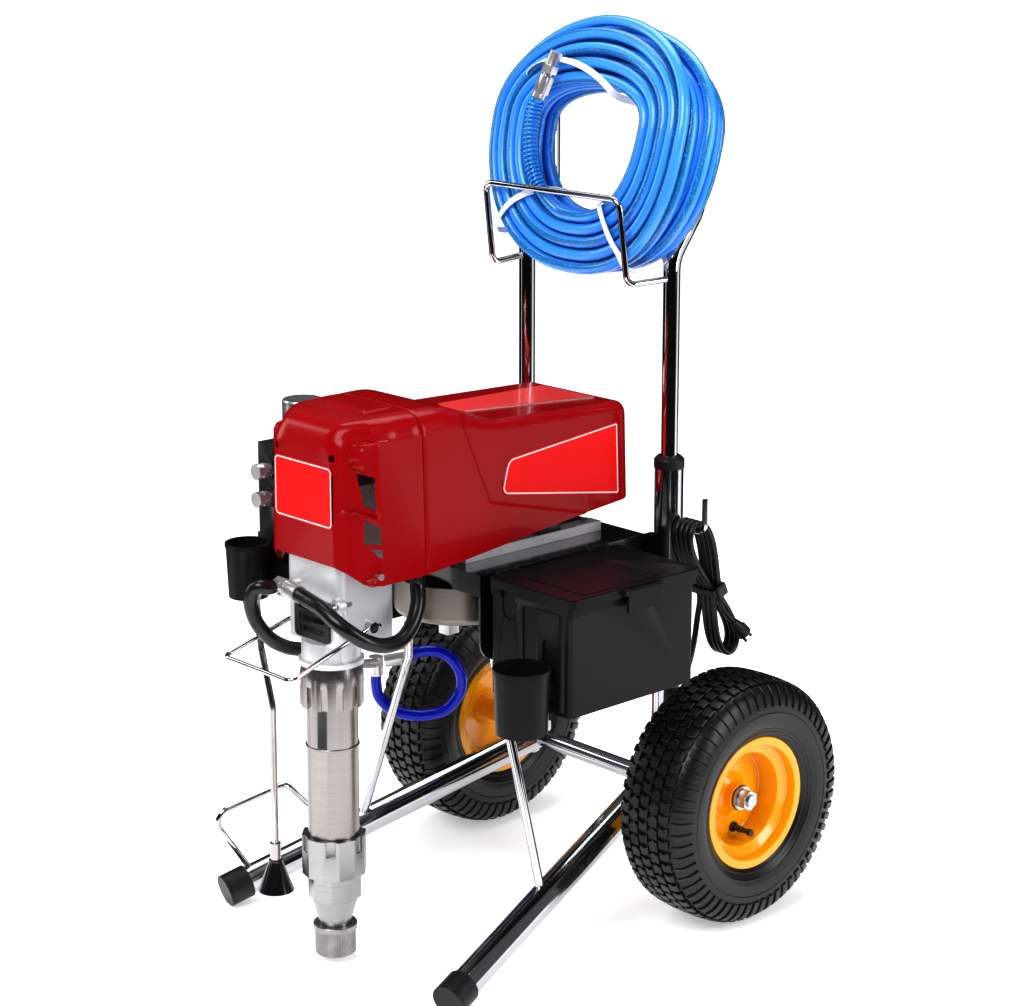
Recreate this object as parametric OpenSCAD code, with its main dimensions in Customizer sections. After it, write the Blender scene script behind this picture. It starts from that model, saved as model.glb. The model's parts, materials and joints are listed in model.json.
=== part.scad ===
// Airless paint sprayer on a two-wheel cart.
// Millimetres. +Z up, the pump in front (-Y), the handle behind (+Y), the tool box on the right (+X).
// The origin lies on the floor under the middle of the machine.

/* [Wheels] */
// Outside diameter of the turf tyre
tyre_od = 330; // [300:5:360]
// Width of the tyre over its side walls
tyre_w = 118; // [100:2:130]
// Distance between the middle planes of the two tyres
track = 482; // [460:2:540]
// Outside diameter of the rim's flanges
rim_flange_d = 177; // [165:1:190]
// Width of the rim over its flanges
rim_w = 92; // [80:1:100]
// Diameter of the axle bolt
axle_d = 16; // [12:1:20]
// Number of tread blocks round the tyre
tread_blocks = 30; // [20:2:36]

/* [Frame] */
// Outside diameter of the leg and upright tubes
tube_d = 38; // [32:1:42]
// Wall of the leg and upright tubes
tube_wall = 2; // [1.5:0.5:3]
// Distance between the two uprights, centre to centre
upright_gap = 272; // [262:2:300]
// Height of the uprights' open tops
upright_top = 590; // [540:5:640]
// Distance between the two front feet, centre to centre
foot_gap = 448; // [400:4:500]
// Distance from the axle forwards to the front feet
foot_reach = 477; // [440:1:500]
// Outside diameter of the cross tube between the legs
cross_d = 24; // [20:1:28]

/* [Handle] */
// Outside diameter of the sliding handle's tube
handle_d = 22; // [18:1:26]
// Height of the handle's grip bar
handle_top = 1080; // [1020:5:1150]
// How far the handle's upper part is set back
handle_setback = 46; // [40:1:60]
// Height at which the handle bends back
handle_bend_z = 866; // [850:1:880]
// Rod diameter of the hose rack
rack_d = 8; // [6:0.5:10]
// Height of the hose rack's top bar
rack_top = 948; // [930:1:970]

/* [Deck] */
// Width of the deck over its side flanges
deck_w = 220; // [200:2:226]
// Height of the deck's top face
deck_z = 498; // [480:1:520]
// Sheet thickness of the deck
deck_t = 3; // [2:0.5:4]
// Depth of the deck's side flanges
flange_h = 113; // [90:1:125]

/* [Cover] */
// Width of the red cover at its lower edge
cover_w = 196; // [184:2:204]
// Height of the cover's highest ridge
cover_top = 712; // [705:1:730]
// Wall of the moulded covers
cover_wall = 3; // [2.5:0.5:4]

/* [Pump] */
// Distance from the axle forwards to the pump's centre line
pump_reach = 473; // [450:1:490]
// Outside diameter of the pump cylinder
pump_d = 65; // [56:1:70]
// Bore of the pump cylinder
pump_bore = 44; // [36:1:46]
// Stroke of the displacement rod either way from the middle
half_stroke = 12; // [8:1:16]

/* [Tool box] */
// Length of the tool box lid
box_l = 225; // [200:1:235]
// Width of the tool box lid
box_w = 151; // [130:1:156]
// Height of the tool box with its lid closed
box_h = 151; // [120:1:156]
// Wall of the tool box
box_wall = 3; // [2:0.5:4]
// Outside diameter of the right-hand drip cup
cup_d = 72; // [60:1:76]
// Height of the right-hand drip cup
cup_h = 82; // [60:1:90]

/* [Hose] */
// Diameter of the paint hose
hose_d = 15; // [13:0.5:15]
// Number of turns in each layer of the hose coil
hose_turns = 5; // [3:1:5]

/* [Hidden] */
$fn = 48;

// ---- clearances ----
weld = 0.2;          // gap left between two welded or seated pieces
run = 0.05;          // radial clearance of a running or sliding fit
free = 0.4;          // gap between pieces that move past each other
seam = 0.04;         // how much thicker than its straights a rod's bend is, a side
lap = 0.4;           // how far a rod's straight reaches into its bends

// ---- places, all worked out from the wheels ----
hook_reach = 588;                              // axle to the pail hook's front bar
hook_d = 6;
axle_y = (hook_reach + hook_d / 2 - tyre_od / 2) / 2;
axle_z = tyre_od / 2;
up_x = upright_gap / 2;
up_y = axle_y - 14;
foot_x = foot_gap / 2;
foot_y = axle_y - foot_reach;
foot_z = 21;
leg_back_x = up_x - 17;
leg_back_y = up_y - 14;
leg_back_z = 151;
pump_y = axle_y - pump_reach;
deck_y0 = axle_y - 323;
deck_y1 = axle_y - 30;

steel = "silver";
chrome = "gainsboro";
black = [0.09, 0.09, 0.1];
red = "firebrick";
nickel = [0.72, 0.69, 0.66];
alloy = [0.8, 0.81, 0.82];
blue = "dodgerblue";

// ---- vector helpers ----
function unit(v) = v / norm(v);
function bend_angle(a, b) = acos(max(-1, min(1, a * b)));
function side_of(d) = unit(cross(abs(d.z) < 0.9 ? [0, 0, 1] : [1, 0, 0], d));

// Places its children with their Z axis along the line from p towards q.
module along(p, q) {
    z = unit(q - p);
    x = side_of(z);
    y = cross(z, x);
    multmatrix([[x.x, y.x, z.x, p.x], [x.y, y.y, z.y, p.y], [x.z, y.z, z.z, p.z]]) children();
}

// A straight round bar from p to q.
module bar(p, q, d) {
    along(p, q) cylinder(d = d, h = norm(q - p));
}

// The round bend of radius r at corner c, between the points before and after it.
module bend(a, c, b, r, d) {
    da = unit(c - a);
    db = unit(b - c);
    turn = bend_angle(da, db);
    x = -unit(db - da * (da * db));
    z = cross(x, da);
    m = c - da * r * tan(turn / 2) - x * r;
    multmatrix([[x.x, da.x, z.x, m.x], [x.y, da.y, z.y, m.y], [x.z, da.z, z.z, m.z]])
        rotate_extrude(angle = turn) translate([r, 0]) circle(d = d + 2 * seam);
}

// How much of a leg of the route the bend at point i takes up.
function taken(p, i, r) = (i <= 0 || i >= len(p) - 1) ? 0
    : r * tan(bend_angle(unit(p[i] - p[i - 1]), unit(p[i + 1] - p[i])) / 2) - lap;

// A bent rod or tube through the points p, with bends of radius r. The straight
// lengths reach a little way into the bends, which are a hair thicker.
module bent_rod(p, d, r) {
    for (i = [0 : len(p) - 2]) {
        u = unit(p[i + 1] - p[i]);
        bar(p[i] + u * taken(p, i, r), p[i + 1] - u * taken(p, i + 1, r), d);
    }
    for (i = [1 : len(p) - 2])
        bend(p[i - 1], p[i], p[i + 1], r, d);
}

// A ring: a short tube along Z.
module tube(d, bore, h) {
    difference() {
        cylinder(d = d, h = h);
        translate([0, 0, -1]) cylinder(d = bore, h = h + 2);
    }
}

// An upright block with round vertical corners.
module round_block(x, y, z, r) {
    translate([r, 0, 0]) cube([x - 2 * r, y, z]);
    translate([0, r, 0]) cube([x, y - 2 * r, z]);
    for (px = [r, x - r], py = [r, y - r])
        translate([px, py, 0]) cylinder(r = r, h = z);
}

// A regular prism, across = distance across its flats.
module prism(across, h, sides = 6) {
    cylinder(d = across / cos(180 / sides), h = h, $fn = sides);
}

module both_sides() {
    children();
    mirror([1, 0, 0]) children();
}

// ---- frame ----
function leg_point(s) = [foot_x, foot_y, foot_z]
    + s * [leg_back_x - foot_x, leg_back_y - foot_y, leg_back_z - foot_z];
leg_over = 1.045;     // the leg runs on past its line's end to meet the upright

module leg_line(d, from = 0, to = leg_over) {
    bar(leg_point(from), leg_point(to), d);
}

module upright_solid(d) {
    translate([up_x, up_y, leg_back_z - 22]) cylinder(d = d, h = upright_top - leg_back_z + 22);
}

boss_d = axle_d + 10;
boss_in = up_x - tube_d / 2 + 4;
boss_out = up_x + tube_d / 2 + 14;

module upright() {
    color(steel) difference() {
        upright_solid(tube_d);
        translate([up_x, up_y, leg_back_z - 20])
            cylinder(d = tube_d - 2 * tube_wall, h = upright_top);
        translate([0, axle_y, axle_z]) rotate([0, 90, 0])
            cylinder(d = boss_d + 2 * weld, h = foot_x);
    }
}

module uprights() { both_sides() upright(); }

module leg() {
    color(steel) difference() {
        leg_line(tube_d);
        leg_line(tube_d - 2 * tube_wall, 0.02, leg_over - 0.05);
        upright_solid(tube_d + 2 * weld);
        translate([0, axle_y, axle_z]) rotate([0, 90, 0])
            cylinder(d = boss_d + 2 * weld, h = foot_x);
    }
}

module legs() { both_sides() leg(); }

// The cross tube between the legs and the two bosses that carry the axle bolts.
cross_y = leg_back_y + 12;
cross_z = leg_back_z + 5;
module axle_tubes() {
    color(steel) difference() {
        translate([-leg_back_x + 11, cross_y, cross_z]) rotate([0, 90, 0])
            tube(cross_d, cross_d - 4, 2 * leg_back_x - 22);
        both_sides() leg_line(tube_d + 2 * weld);
        both_sides() upright_solid(tube_d + 2 * weld);
    }
    color(steel) both_sides() translate([boss_in, axle_y, axle_z]) rotate([0, 90, 0])
        tube(boss_d, axle_d + 2 * weld, boss_out - boss_in);
}

hub_out = track / 2 + 20;
hub_in = track / 2 - 51;
nut_h = 13;
washer_t = 3;
module axle_bolts() {
    color(chrome) both_sides() translate([boss_in - 10 - weld, axle_y, axle_z])
        rotate([0, 90, 0]) {
            prism(axle_d + 5, 10);
            cylinder(d = axle_d, h = hub_out + washer_t + nut_h + 14 - boss_in);
        }
    color(chrome) both_sides() translate([boss_out + weld, axle_y, axle_z]) rotate([0, 90, 0])
        tube(axle_d + 14, axle_d + 2 * weld, hub_in - boss_out - 2 * weld);
    color(chrome) both_sides() translate([hub_out + weld, axle_y, axle_z]) rotate([0, 90, 0])
        tube(axle_d + 16, axle_d + 2 * weld, washer_t);
    color(chrome) both_sides() translate([hub_out + washer_t + 2 * weld, axle_y, axle_z])
        rotate([0, 90, 0]) difference() {
            intersection() {
                prism(24, nut_h);
                cylinder(d1 = 24, d2 = 34, h = nut_h);
            }
            translate([0, 0, -1]) cylinder(d = axle_d + 2 * weld, h = nut_h + 2);
        }
}

cap_l = 30;
cap_wall = 3;
module leg_caps() {
    color(black) both_sides() difference() {
        union() {
            along(leg_point(0), leg_point(-1))
                translate([0, 0, weld]) cylinder(d = tube_d + 2 * cap_wall, h = cap_wall + 1);
            leg_line(tube_d + 2 * cap_wall, 0, cap_l / norm(leg_point(1) - leg_point(0)));
        }
        leg_line(tube_d + 2 * weld, 0, 0.2);
        translate([0, foot_y - 100, -50]) cube([foot_x + 100, 200, 50]);
    }
}

collar_h = 17;
module sleeve_collars() {
    color(black) both_sides() translate([up_x, up_y, upright_top + weld]) difference() {
        union() {
            cylinder(d = tube_d + 2, h = collar_h - 5);
            translate([0, 0, collar_h - 5])
                cylinder(d1 = tube_d + 2, d2 = handle_d + 8, h = 5);
            translate([0, 0, -30]) cylinder(d = tube_d - 2 * tube_wall - 2 * weld, h = 30);
        }
        translate([0, 0, -31]) cylinder(d = handle_d + 2 * run, h = collar_h + 32);
    }
}

brace_d = 12;
brace_x = deck_w / 2 - deck_t - brace_d / 2 - 0.6;
brace_top_r = [brace_x, axle_y - 290, deck_z - flange_h + 40];
brace_top_l = [-deck_w / 2 - brace_d / 2 - 1, axle_y - 248, deck_z - flange_h + 60];
brace_bend_r = [brace_x, axle_y - 290, deck_z - flange_h - 6];
brace_bend_l = [-deck_w / 2 - brace_d / 2 - 1, axle_y - 248, deck_z - flange_h - 60];
function leg_left(s) = [-leg_point(s).x, leg_point(s).y, leg_point(s).z];
module leg_braces() {
    color(steel) difference() {
        union() {
            bent_rod([leg_point(0.44), brace_bend_r, brace_top_r], brace_d, 25);
            bent_rod([leg_left(0.43), brace_bend_l, brace_top_l], brace_d, 25);
        }
        both_sides() leg_line(tube_d + 2 * weld);
    }
}

step_d = 8;
step_front = [-foot_x + 8, axle_y - 440, 38];
step_front_top = [-foot_x - 8, axle_y - 497, 128];
step_back_top = [-foot_x + 19, axle_y - 392, 155];
step_back = [-foot_x + 35, axle_y - 320, 74];
module foot_loop() {
    color(chrome) difference() {
        bent_rod([step_front, step_front_top, step_back_top, step_back], step_d, 18);
        mirror([1, 0, 0]) leg_line(tube_d + 2 * weld);
    }
}

// ---- deck ----
lip_h = 28;
flange_r = 26;
module flange_plate() {
    translate([deck_w / 2 - deck_t, deck_y0, deck_z - flange_h]) difference() {
        cube([deck_t, deck_y1 - deck_y0, flange_h]);
        translate([-1, -1, -1]) cube([deck_t + 2, flange_r + 1, flange_r + 1]);
    }
    translate([deck_w / 2 - deck_t, deck_y0 + flange_r, deck_z - flange_h + flange_r])
        rotate([0, 90, 0]) cylinder(r = flange_r, h = deck_t);
}

weld_lug = up_x - tube_d / 2 - deck_w / 2;    // the gap that the weld lug fills
pan_d = 168;
pan_neck = 88;
pan_y = axle_y - 262;
pan_bottom = deck_z - 79;
module deck_plate() {
    color(steel) {
        difference() {
            union() {
                translate([-deck_w / 2, deck_y0, deck_z - deck_t])
                    cube([deck_w, deck_y1 - deck_y0, deck_t]);
                translate([-deck_w / 2, deck_y0, deck_z - lip_h]) cube([deck_w, deck_t, lip_h]);
                both_sides() flange_plate();
            }
            for (x = [-rail_x, rail_x], y = rail_bolts)
                translate([x, y, deck_z - 10]) cylinder(d = 7, h = 20);
            translate([0, pan_y, deck_z - 10]) cylinder(d = pan_neck - 12, h = 20);
        }
        both_sides() difference() {
            translate([deck_w / 2, up_y - 12, deck_z - 40]) cube([weld_lug + 3, 10, 40]);
            upright_solid(tube_d + 2 * weld);
        }
        both_sides() translate([deck_w / 2 - deck_t, deck_y1 - 1, deck_z - 40])
            cube([deck_t, up_y - 2 - deck_y1 + 1, 40]);
    }
}

rail_x = 46;
rail_w = 22;
rail_h = 13;
rail_bolts = [axle_y - 277, axle_y - 186, axle_y - 80];
rail_y0 = axle_y - 300;
rail_y1 = axle_y - 60;
module mount_rails() {
    color(black) both_sides() difference() {
        translate([rail_x - rail_w / 2, rail_y0, deck_z + weld])
            cube([rail_w, rail_y1 - rail_y0, rail_h]);
        for (y = rail_bolts)
            translate([rail_x, y, deck_z - 10]) cylinder(d = 7, h = 40);
    }
}

module belly_pan() {
    color(nickel) translate([0, pan_y, 0]) difference() {
        union() {
            translate([0, 0, pan_bottom + 10])
                cylinder(d = pan_d, h = deck_z - lip_h - weld - pan_bottom - 10);
            translate([0, 0, deck_z - lip_h - 3])
                cylinder(d = pan_neck, h = lip_h + 3 - deck_t - weld);
            translate([0, 0, pan_bottom + 10]) pan_edge();
        }
        translate([0, 0, pan_bottom + 12])
            cylinder(d = pan_d - 4, h = deck_z - lip_h - 3 - weld - pan_bottom - 12);
        translate([0, 0, pan_bottom]) cylinder(d = pan_neck - 6, h = deck_z);
        translate([0, 0, pan_bottom + 2]) cylinder(d = pan_d - 24, h = 20);
    }
}

// The pan's rolled lower edge.
module pan_edge() {
    rotate_extrude() {
        translate([pan_d / 2 - 10, 0]) intersection() {
            circle(r = 10);
            translate([0, -10]) square([10, 10]);
        }
        translate([0, -10]) square([pan_d / 2 - 10, 10]);
    }
}

// ---- drive: motor, gears and the crank that moves the displacement rod ----
gear_z = 548;
gear_d = 84;
pinion_d = 22;
motor_z = gear_z + gear_d / 2 + pinion_d / 2 + free;
house_w = 106;
house_front = pump_y - 27;
house_back = pump_y + 60;
house_bottom = 425;
house_top = motor_z + 25;
bowl_d = 74;
bowl_z = 395;
rod_d = 22;
gear_y = pump_y + 30;
gear_t = 12;
shaft_d = 16;
motor_d = 120;
motor_y0 = house_back + weld;
motor_y1 = motor_y0 + 280;
armature_d = 92;

module drive_housing() {
    color(alloy) difference() {
        union() {
            translate([-house_w / 2, house_front, house_bottom])
                round_block(house_w, house_back - house_front, house_top - house_bottom, 9);
            translate([0, pump_y, bowl_z]) cylinder(d = bowl_d, h = house_bottom - bowl_z + 1);
            translate([0, pump_y, bowl_z]) cylinder(d = bowl_d + 8, h = 6);
            for (x = [-bolt_x, bolt_x])
                translate([x, house_front - 6, bolt_z]) rotate([-90, 0, 0]) cylinder(d = 20, h = 10);
        }
        translate([-house_w / 2 + 8, pump_y - 19, house_bottom + 7])
            cube([house_w - 16, house_back - 8 - pump_y + 19, house_top - house_bottom - 14]);
        translate([0, pump_y, bowl_z - 1]) cylinder(d = rod_d + 1, h = 60);
        translate([-guard_w / 2, house_front - 1, guard_z]) cube([guard_w, 12, guard_h]);
        translate([0, house_back - 9, gear_z]) rotate([-90, 0, 0])
            cylinder(d = shaft_d + 2 * run, h = 10);
        translate([0, house_back - 9, motor_z]) rotate([-90, 0, 0])
            cylinder(d = pinion_d + 4, h = 10);
        for (x = [-bolt_x, bolt_x])
            translate([x, house_front - 7, bolt_z]) rotate([-90, 0, 0]) cylinder(d = 8.4, h = 26);
    }
}

guard_w = 62;
guard_h = 44;
guard_z = 433;
bolt_x = 50;
bolt_z = 482;
module finger_guard() {
    color(black) translate([-guard_w / 2 - 3, house_front - 3 - weld, guard_z - 4]) difference() {
        round_slab(guard_w + 6, 3, guard_h + 8, 6);
        for (i = [0 : 2])
            translate([10, -1, 9 + 14 * i]) cube([guard_w - 14, 5, 7]);
    }
}

// A slab standing in the XZ plane with round corners.
module round_slab(x, y, z, r) {
    translate([0, y, 0]) rotate([90, 0, 0]) round_block(x, z, y, r);
}

// Bolts: four of the drive housing and three that hold the covers.
module screw(d, l, head_d, head_h) {
    translate([0, 0, -l]) cylinder(d = d, h = l + 1);
    difference() {
        cylinder(d = head_d, h = head_h);
        translate([0, 0, head_h - 1.5]) prism(d, 3);
    }
}

module screws() {
    color(chrome) {
        for (x = [-bolt_x, bolt_x])
            translate([x, house_front - 6 - weld, bolt_z]) rotate([90, 0, 0]) screw(8, 16, 13, 8);
        both_sides() translate([53, cover_front + 20 - weld, cover_screw_z])
            rotate([90, 0, 0]) screw(4, 12, 8, 3);
        both_sides() translate([side_screw_x, axle_y - 474, 524]) rotate([0, 90, 0])
            screw(4, 10, 8, 3);
        for (x = [-rail_x, rail_x], y = rail_bolts)
            translate([x, y, deck_z + rail_h + 2 * weld]) {
                prism(11, 4.5);
                translate([0, 0, -rail_h - 10]) cylinder(d = 6.4, h = rail_h + 11);
            }
    }
}

// A toothed wheel along Y; its teeth stand just clear of the wheel that it faces.
module toothed(d, teeth, depth, t, bore = 0) {
    rotate([-90, 0, 0]) linear_extrude(t) difference() {
        polygon([for (i = [0 : teeth - 1], k = [0 : 3])
            let (a = (i + [0, 0.25, 0.5, 0.75][k]) * 360 / teeth, r = d / 2 - [0, 0, depth, depth][k])
            [r * cos(a), r * sin(a)]]);
        if (bore > 0) circle(d = bore);
    }
}

module motor_rotor() {
    color(steel) translate([0, 0, motor_z]) {
        translate([0, gear_y, 0]) toothed(pinion_d, 11, 2.2, gear_t + 5);
        translate([0, gear_y + gear_t, 0]) rotate([-90, 0, 0])
            cylinder(d = 12, h = motor_y1 - gear_y - gear_t - 6);
        translate([0, motor_y0 + 50, 0]) rotate([-90, 0, 0]) cylinder(d = armature_d, h = 130);
        translate([0, motor_y0 + 215, 0]) rotate([-90, 0, 0]) cylinder(d = 40, h = 30);
    }
}

crank_pin_y = pump_y + 8;
module drive_gear() {
    color(steel) translate([0, 0, gear_z]) {
        translate([0, gear_y, 0]) toothed(gear_d, 42, 2.2, gear_t);
        translate([0, gear_y + gear_t - 1, 0]) rotate([-90, 0, 0])
            cylinder(d = shaft_d, h = house_back - gear_y - gear_t - 1);
        translate([0, pump_y + 18, 0]) rotate([-90, 0, 0]) cylinder(d = 50, h = 13);
        translate([0, crank_pin_y, half_stroke]) rotate([-90, 0, 0]) cylinder(d = 10, h = 12);
    }
}

// The displacement rod with its yoke; the crank pin ends just short of the yoke's back.
module displacement_rod() {
    color(chrome) difference() {
        union() {
            translate([0, pump_y, rod_bottom]) cylinder(d = rod_d, h = gear_z - 20 - rod_bottom);
            translate([0, pump_y, rod_bottom - 14]) cylinder(d = pump_bore - 2 * run, h = 15);
            translate([-30, pump_y - 12, gear_z - 24])
                cube([60, crank_pin_y - 0.5 - pump_y + 12, 48]);
        }
        translate([-23, pump_y - 13, gear_z - 6]) cube([46, 40, 12]);
    }
}

module motor_housing() {
    color(alloy) difference() {
        union() {
            translate([0, motor_y0, motor_z]) rotate([-90, 0, 0])
                cylinder(d = motor_d, h = motor_y1 - motor_y0);
            for (y = [axle_y - 264, axle_y - 172])
                translate([-rail_x - rail_w / 2, y, deck_z + rail_h + 2 * weld])
                    cube([2 * rail_x + rail_w, 38, motor_z - 30 - deck_z - rail_h]);
        }
        translate([0, motor_y0 + 8, motor_z]) rotate([-90, 0, 0])
            cylinder(d = motor_d - 10, h = motor_y1 - motor_y0 - 16);
        translate([0, motor_y0 - 1, motor_z]) rotate([-90, 0, 0])
            cylinder(d = 12 + 2 * run, h = motor_y1 - motor_y0 - 2);
        translate([0, motor_y0 - 1, motor_z]) rotate([-90, 0, 0])
            cylinder(d = pinion_d + 4, h = 7);
    }
}

// ---- covers ----
cover_front = axle_y - 512;
cover_seam = axle_y - 400;
cover_back = axle_y - 38;
cover_side = cover_w / 2;
cover_drop = cover_top - 712;
cover_screw_z = 668;
side_screw_x = cover_side + weld;

// A polygon with its corners rounded: points [y, z, radius], n steps a corner.
function rounded(p, n = 5) = [for (i = [0 : len(p) - 1])
    let (a = [p[(i + len(p) - 1) % len(p)].x, p[(i + len(p) - 1) % len(p)].y],
        c = [p[i].x, p[i].y],
        b = [p[(i + 1) % len(p)].x, p[(i + 1) % len(p)].y],
        r = p[i].z,
        u = (a - c) / norm(a - c),
        v = (b - c) / norm(b - c),
        half = acos(u * v) / 2,
        m = c + (u + v) / norm(u + v) * r / sin(half),
        s = c + u * r / tan(half) - m,
        e = c + v * r / tan(half) - m)
    for (k = (r > 0 ? [0 : n] : [0 : 0]))
        r > 0 ? m + r * unit2(s * (n - k) + e * k) : c];
function unit2(v) = v / norm(v);

// Front section of the covers, inset by w on the sides and the top.
module cover_section(w) {
    polygon(rounded([
        [-cover_side + w, 480, 0],
        [-cover_side + w + 9, cover_top - w, 38 - w],
        [cover_side - w - 9, cover_top - w, 30 - w],
        [cover_side - w, 480, 0]
    ], 6));
}

// Fills the covers' space from behind to the front: section, side outline and plan together.
module cover_solid(w, side, plan) {
    intersection() {
        translate([0, axle_y, 0]) rotate([90, 0, 0]) translate([0, 0, -10])
            linear_extrude(600) cover_section(w);
        rotate([90, 0, 90]) translate([0, 0, -150]) linear_extrude(300) polygon(side);
        translate([0, 0, 450]) linear_extrude(400) polygon(plan);
    }
}

function front_side(w) = rounded([
    [cover_front + w, 534 + cover_drop - (w > 0 ? 30 : 0), 0],
    [cover_front + w, cover_top - 6 - w, 30 - w],
    [axle_y - 440, cover_top - w, 60],
    [cover_seam + (w > 0 ? 1 : 0), cover_top - w, 0],
    [cover_seam + (w > 0 ? 1 : 0), 512 - (w > 0 ? 30 : 0), 0],
    [axle_y - 484, 512 - (w > 0 ? 30 : 0), 0]
]);
function front_plan(w) = rounded([
    [-cover_side + w, cover_seam + 10, 0],
    [-cover_side + w, axle_y - 470 + w / 2, 12 - w],
    [-74 + w / 2, cover_front + w, 14 - w],
    [74 - w / 2, cover_front + w, 14 - w],
    [cover_side - w, axle_y - 470 + w / 2, 12 - w],
    [cover_side - w, cover_seam + 10, 0]
], 4);

post_y = pump_y + 35;
module front_cover() {
    color(red) difference() {
        union() {
            difference() {
                cover_solid(0, front_side(0), front_plan(0));
                cover_solid(cover_wall, front_side(cover_wall), front_plan(cover_wall));
            }
            intersection() {
                cover_solid(1, front_side(1), front_plan(1));
                union() {
                    both_sides() translate([34, post_y, house_top + weld])
                        cylinder(d = 12, h = cover_top - house_top);
                    both_sides() translate([53, cover_front, cover_screw_z])
                        rotate([-90, 0, 0]) cylinder(d = 15, h = 26);
                }
            }
        }
        both_sides() for (z = [552, 604])
            translate([cover_side - 20, axle_y - 462, z]) cube([40, 14, 42]);
        both_sides() translate([53, cover_front - 1, cover_screw_z]) rotate([-90, 0, 0])
            cylinder(d = 9.4, h = 21);
        both_sides() translate([53, cover_front - 1, cover_screw_z]) rotate([-90, 0, 0])
            cylinder(d = 4.4, h = 40);
        both_sides() translate([cover_side - 30, axle_y - 474, 524]) rotate([0, 90, 0])
            cylinder(d = 4.4, h = 40);
    }
}

function shroud_side(w) = rounded([
    [cover_seam + free - (w > 0 ? 2 : 0), 514 - (w > 0 ? 40 : 0), 0],
    [cover_seam + free - (w > 0 ? 2 : 0), cover_top - w, 0],
    [axle_y - 352, cover_top - 1 - w, 70],
    [axle_y - 282, cover_top - 28 - w, 80],
    [cover_back - w, 677 + cover_drop - w, 24 - w],
    [cover_back - w, 549 - (w > 0 ? 40 : 0), 0],
    [axle_y - 163, 538 - (w > 0 ? 60 : 0), 0]
]);
function shroud_plan(w) = rounded([
    [-cover_side + w, cover_seam - 10, 0],
    [cover_side - w, cover_seam - 10, 0],
    [cover_side - w, cover_back - w, 26 - w],
    [-cover_side + w, cover_back - w, 26 - w]
], 4);

module motor_shroud() {
    color(red) difference() {
        union() {
            difference() {
                cover_solid(0, shroud_side(0), shroud_plan(0));
                cover_solid(cover_wall, shroud_side(cover_wall), shroud_plan(cover_wall));
            }
            intersection() {
                cover_solid(1, shroud_side(1), shroud_plan(1));
                for (y = [motor_y0 + 60, motor_y1 - 60])
                    translate([0, y, motor_z + motor_d / 2 + weld])
                        cylinder(d = 10, h = cover_top - motor_z - motor_d / 2);
            }
        }
        for (i = [-3 : 3])
            translate([i * 20 - 4, cover_back - 6, 590]) cube([8, 12, 40]);
        translate([-52, cover_back - 6, button_z]) rotate([-90, 0, 0])
            cylinder(d = button_d + 2 * run, h = 12);
        translate([-cover_side - 1, pressure_y, pressure_z]) rotate([0, 90, 0])
            cylinder(d = 8 + 2 * run, h = 20);
    }
}

// Bare plates on the front, the side and the top of the covers.
plate_t = 0.8;
module plate_skin() {
    difference() {
        cover_solid(-plate_t - weld, front_side(-plate_t - weld), front_plan(-plate_t - weld));
        cover_solid(-weld, front_side(-weld), front_plan(-weld));
    }
    difference() {
        cover_solid(-plate_t - weld, shroud_side(-plate_t - weld), shroud_plan(-plate_t - weld));
        cover_solid(-weld, shroud_side(-weld), shroud_plan(-weld));
    }
}

module label_plates() {
    color("tomato") intersection() {
        plate_skin();
        union() {
            translate([-56, cover_front - 5, 580]) round_slab(112, 10, 77, 8);
            rotate([90, 0, 90]) translate([0, 0, 60]) linear_extrude(60) polygon(rounded([
                [axle_y - 274, 590, 10], [axle_y - 260, 634, 14],
                [axle_y - 66, 652, 4], [axle_y - 66, 556, 4]], 4));
            translate([0, 0, 660]) linear_extrude(60) polygon([
                [-38, axle_y - 262], [16, axle_y - 292], [50, axle_y - 66], [-50, axle_y - 66]]);
        }
    }
}

// ---- pump ----
rod_bottom = 232;
cyl_bottom = 170;
cyl_top = bowl_z - weld;
nut_od = 80;
nut_bottom = 341;

module pump_cylinder() {
    color(nickel) translate([0, pump_y, 0]) difference() {
        union() {
            translate([0, 0, cyl_bottom]) cylinder(d = pump_d, h = cyl_top - cyl_bottom);
            translate([0, 0, 286]) cylinder(d = pump_d + 3, h = 3);
        }
        translate([0, 0, cyl_bottom - 1]) cylinder(d = pump_bore, h = 180);
        translate([0, 0, cyl_bottom]) cylinder(d = rod_d + 2 * run, h = cyl_top - cyl_bottom + 1);
    }
}

module jam_nut() {
    color(nickel) translate([0, pump_y, nut_bottom]) difference() {
        union() {
            cylinder(d = nut_od, h = 40);
            translate([0, 0, 40]) cylinder(d1 = nut_od, d2 = nut_od - 6, h = cyl_top - nut_bottom - 40);
        }
        translate([0, 0, -1]) cylinder(d = pump_d + 2 * weld, h = 80);
        for (a = [0 : 30 : 330])
            rotate(a + 7) translate([nut_od / 2 - 4, -4, -1]) cube([10, 8, 30]);
    }
}

module foot_valve() {
    color(nickel) translate([0, pump_y, 0]) difference() {
        union() {
            intersection() {
                translate([0, 0, 118]) cylinder(d = 82, h = cyl_bottom - weld - 118);
                translate([0, 0, 118]) prism(79, 60, 12);
            }
            translate([0, 0, 84]) prism(62, 35, 8);
            translate([0, 0, 52]) cylinder(d1 = 41, d2 = 60, h = 33);
            translate([0, 0, 49.2]) cylinder(d = 41, h = 3);
        }
        translate([0, 0, 40]) cylinder(d = 24, h = 90);
        translate([0, 0, 110]) cylinder(d = 44, h = 70);
        for (a = [15 : 60 : 315])
            rotate(a) translate([37, -6, 150]) cube([10, 12, 30]);
    }
}

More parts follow.
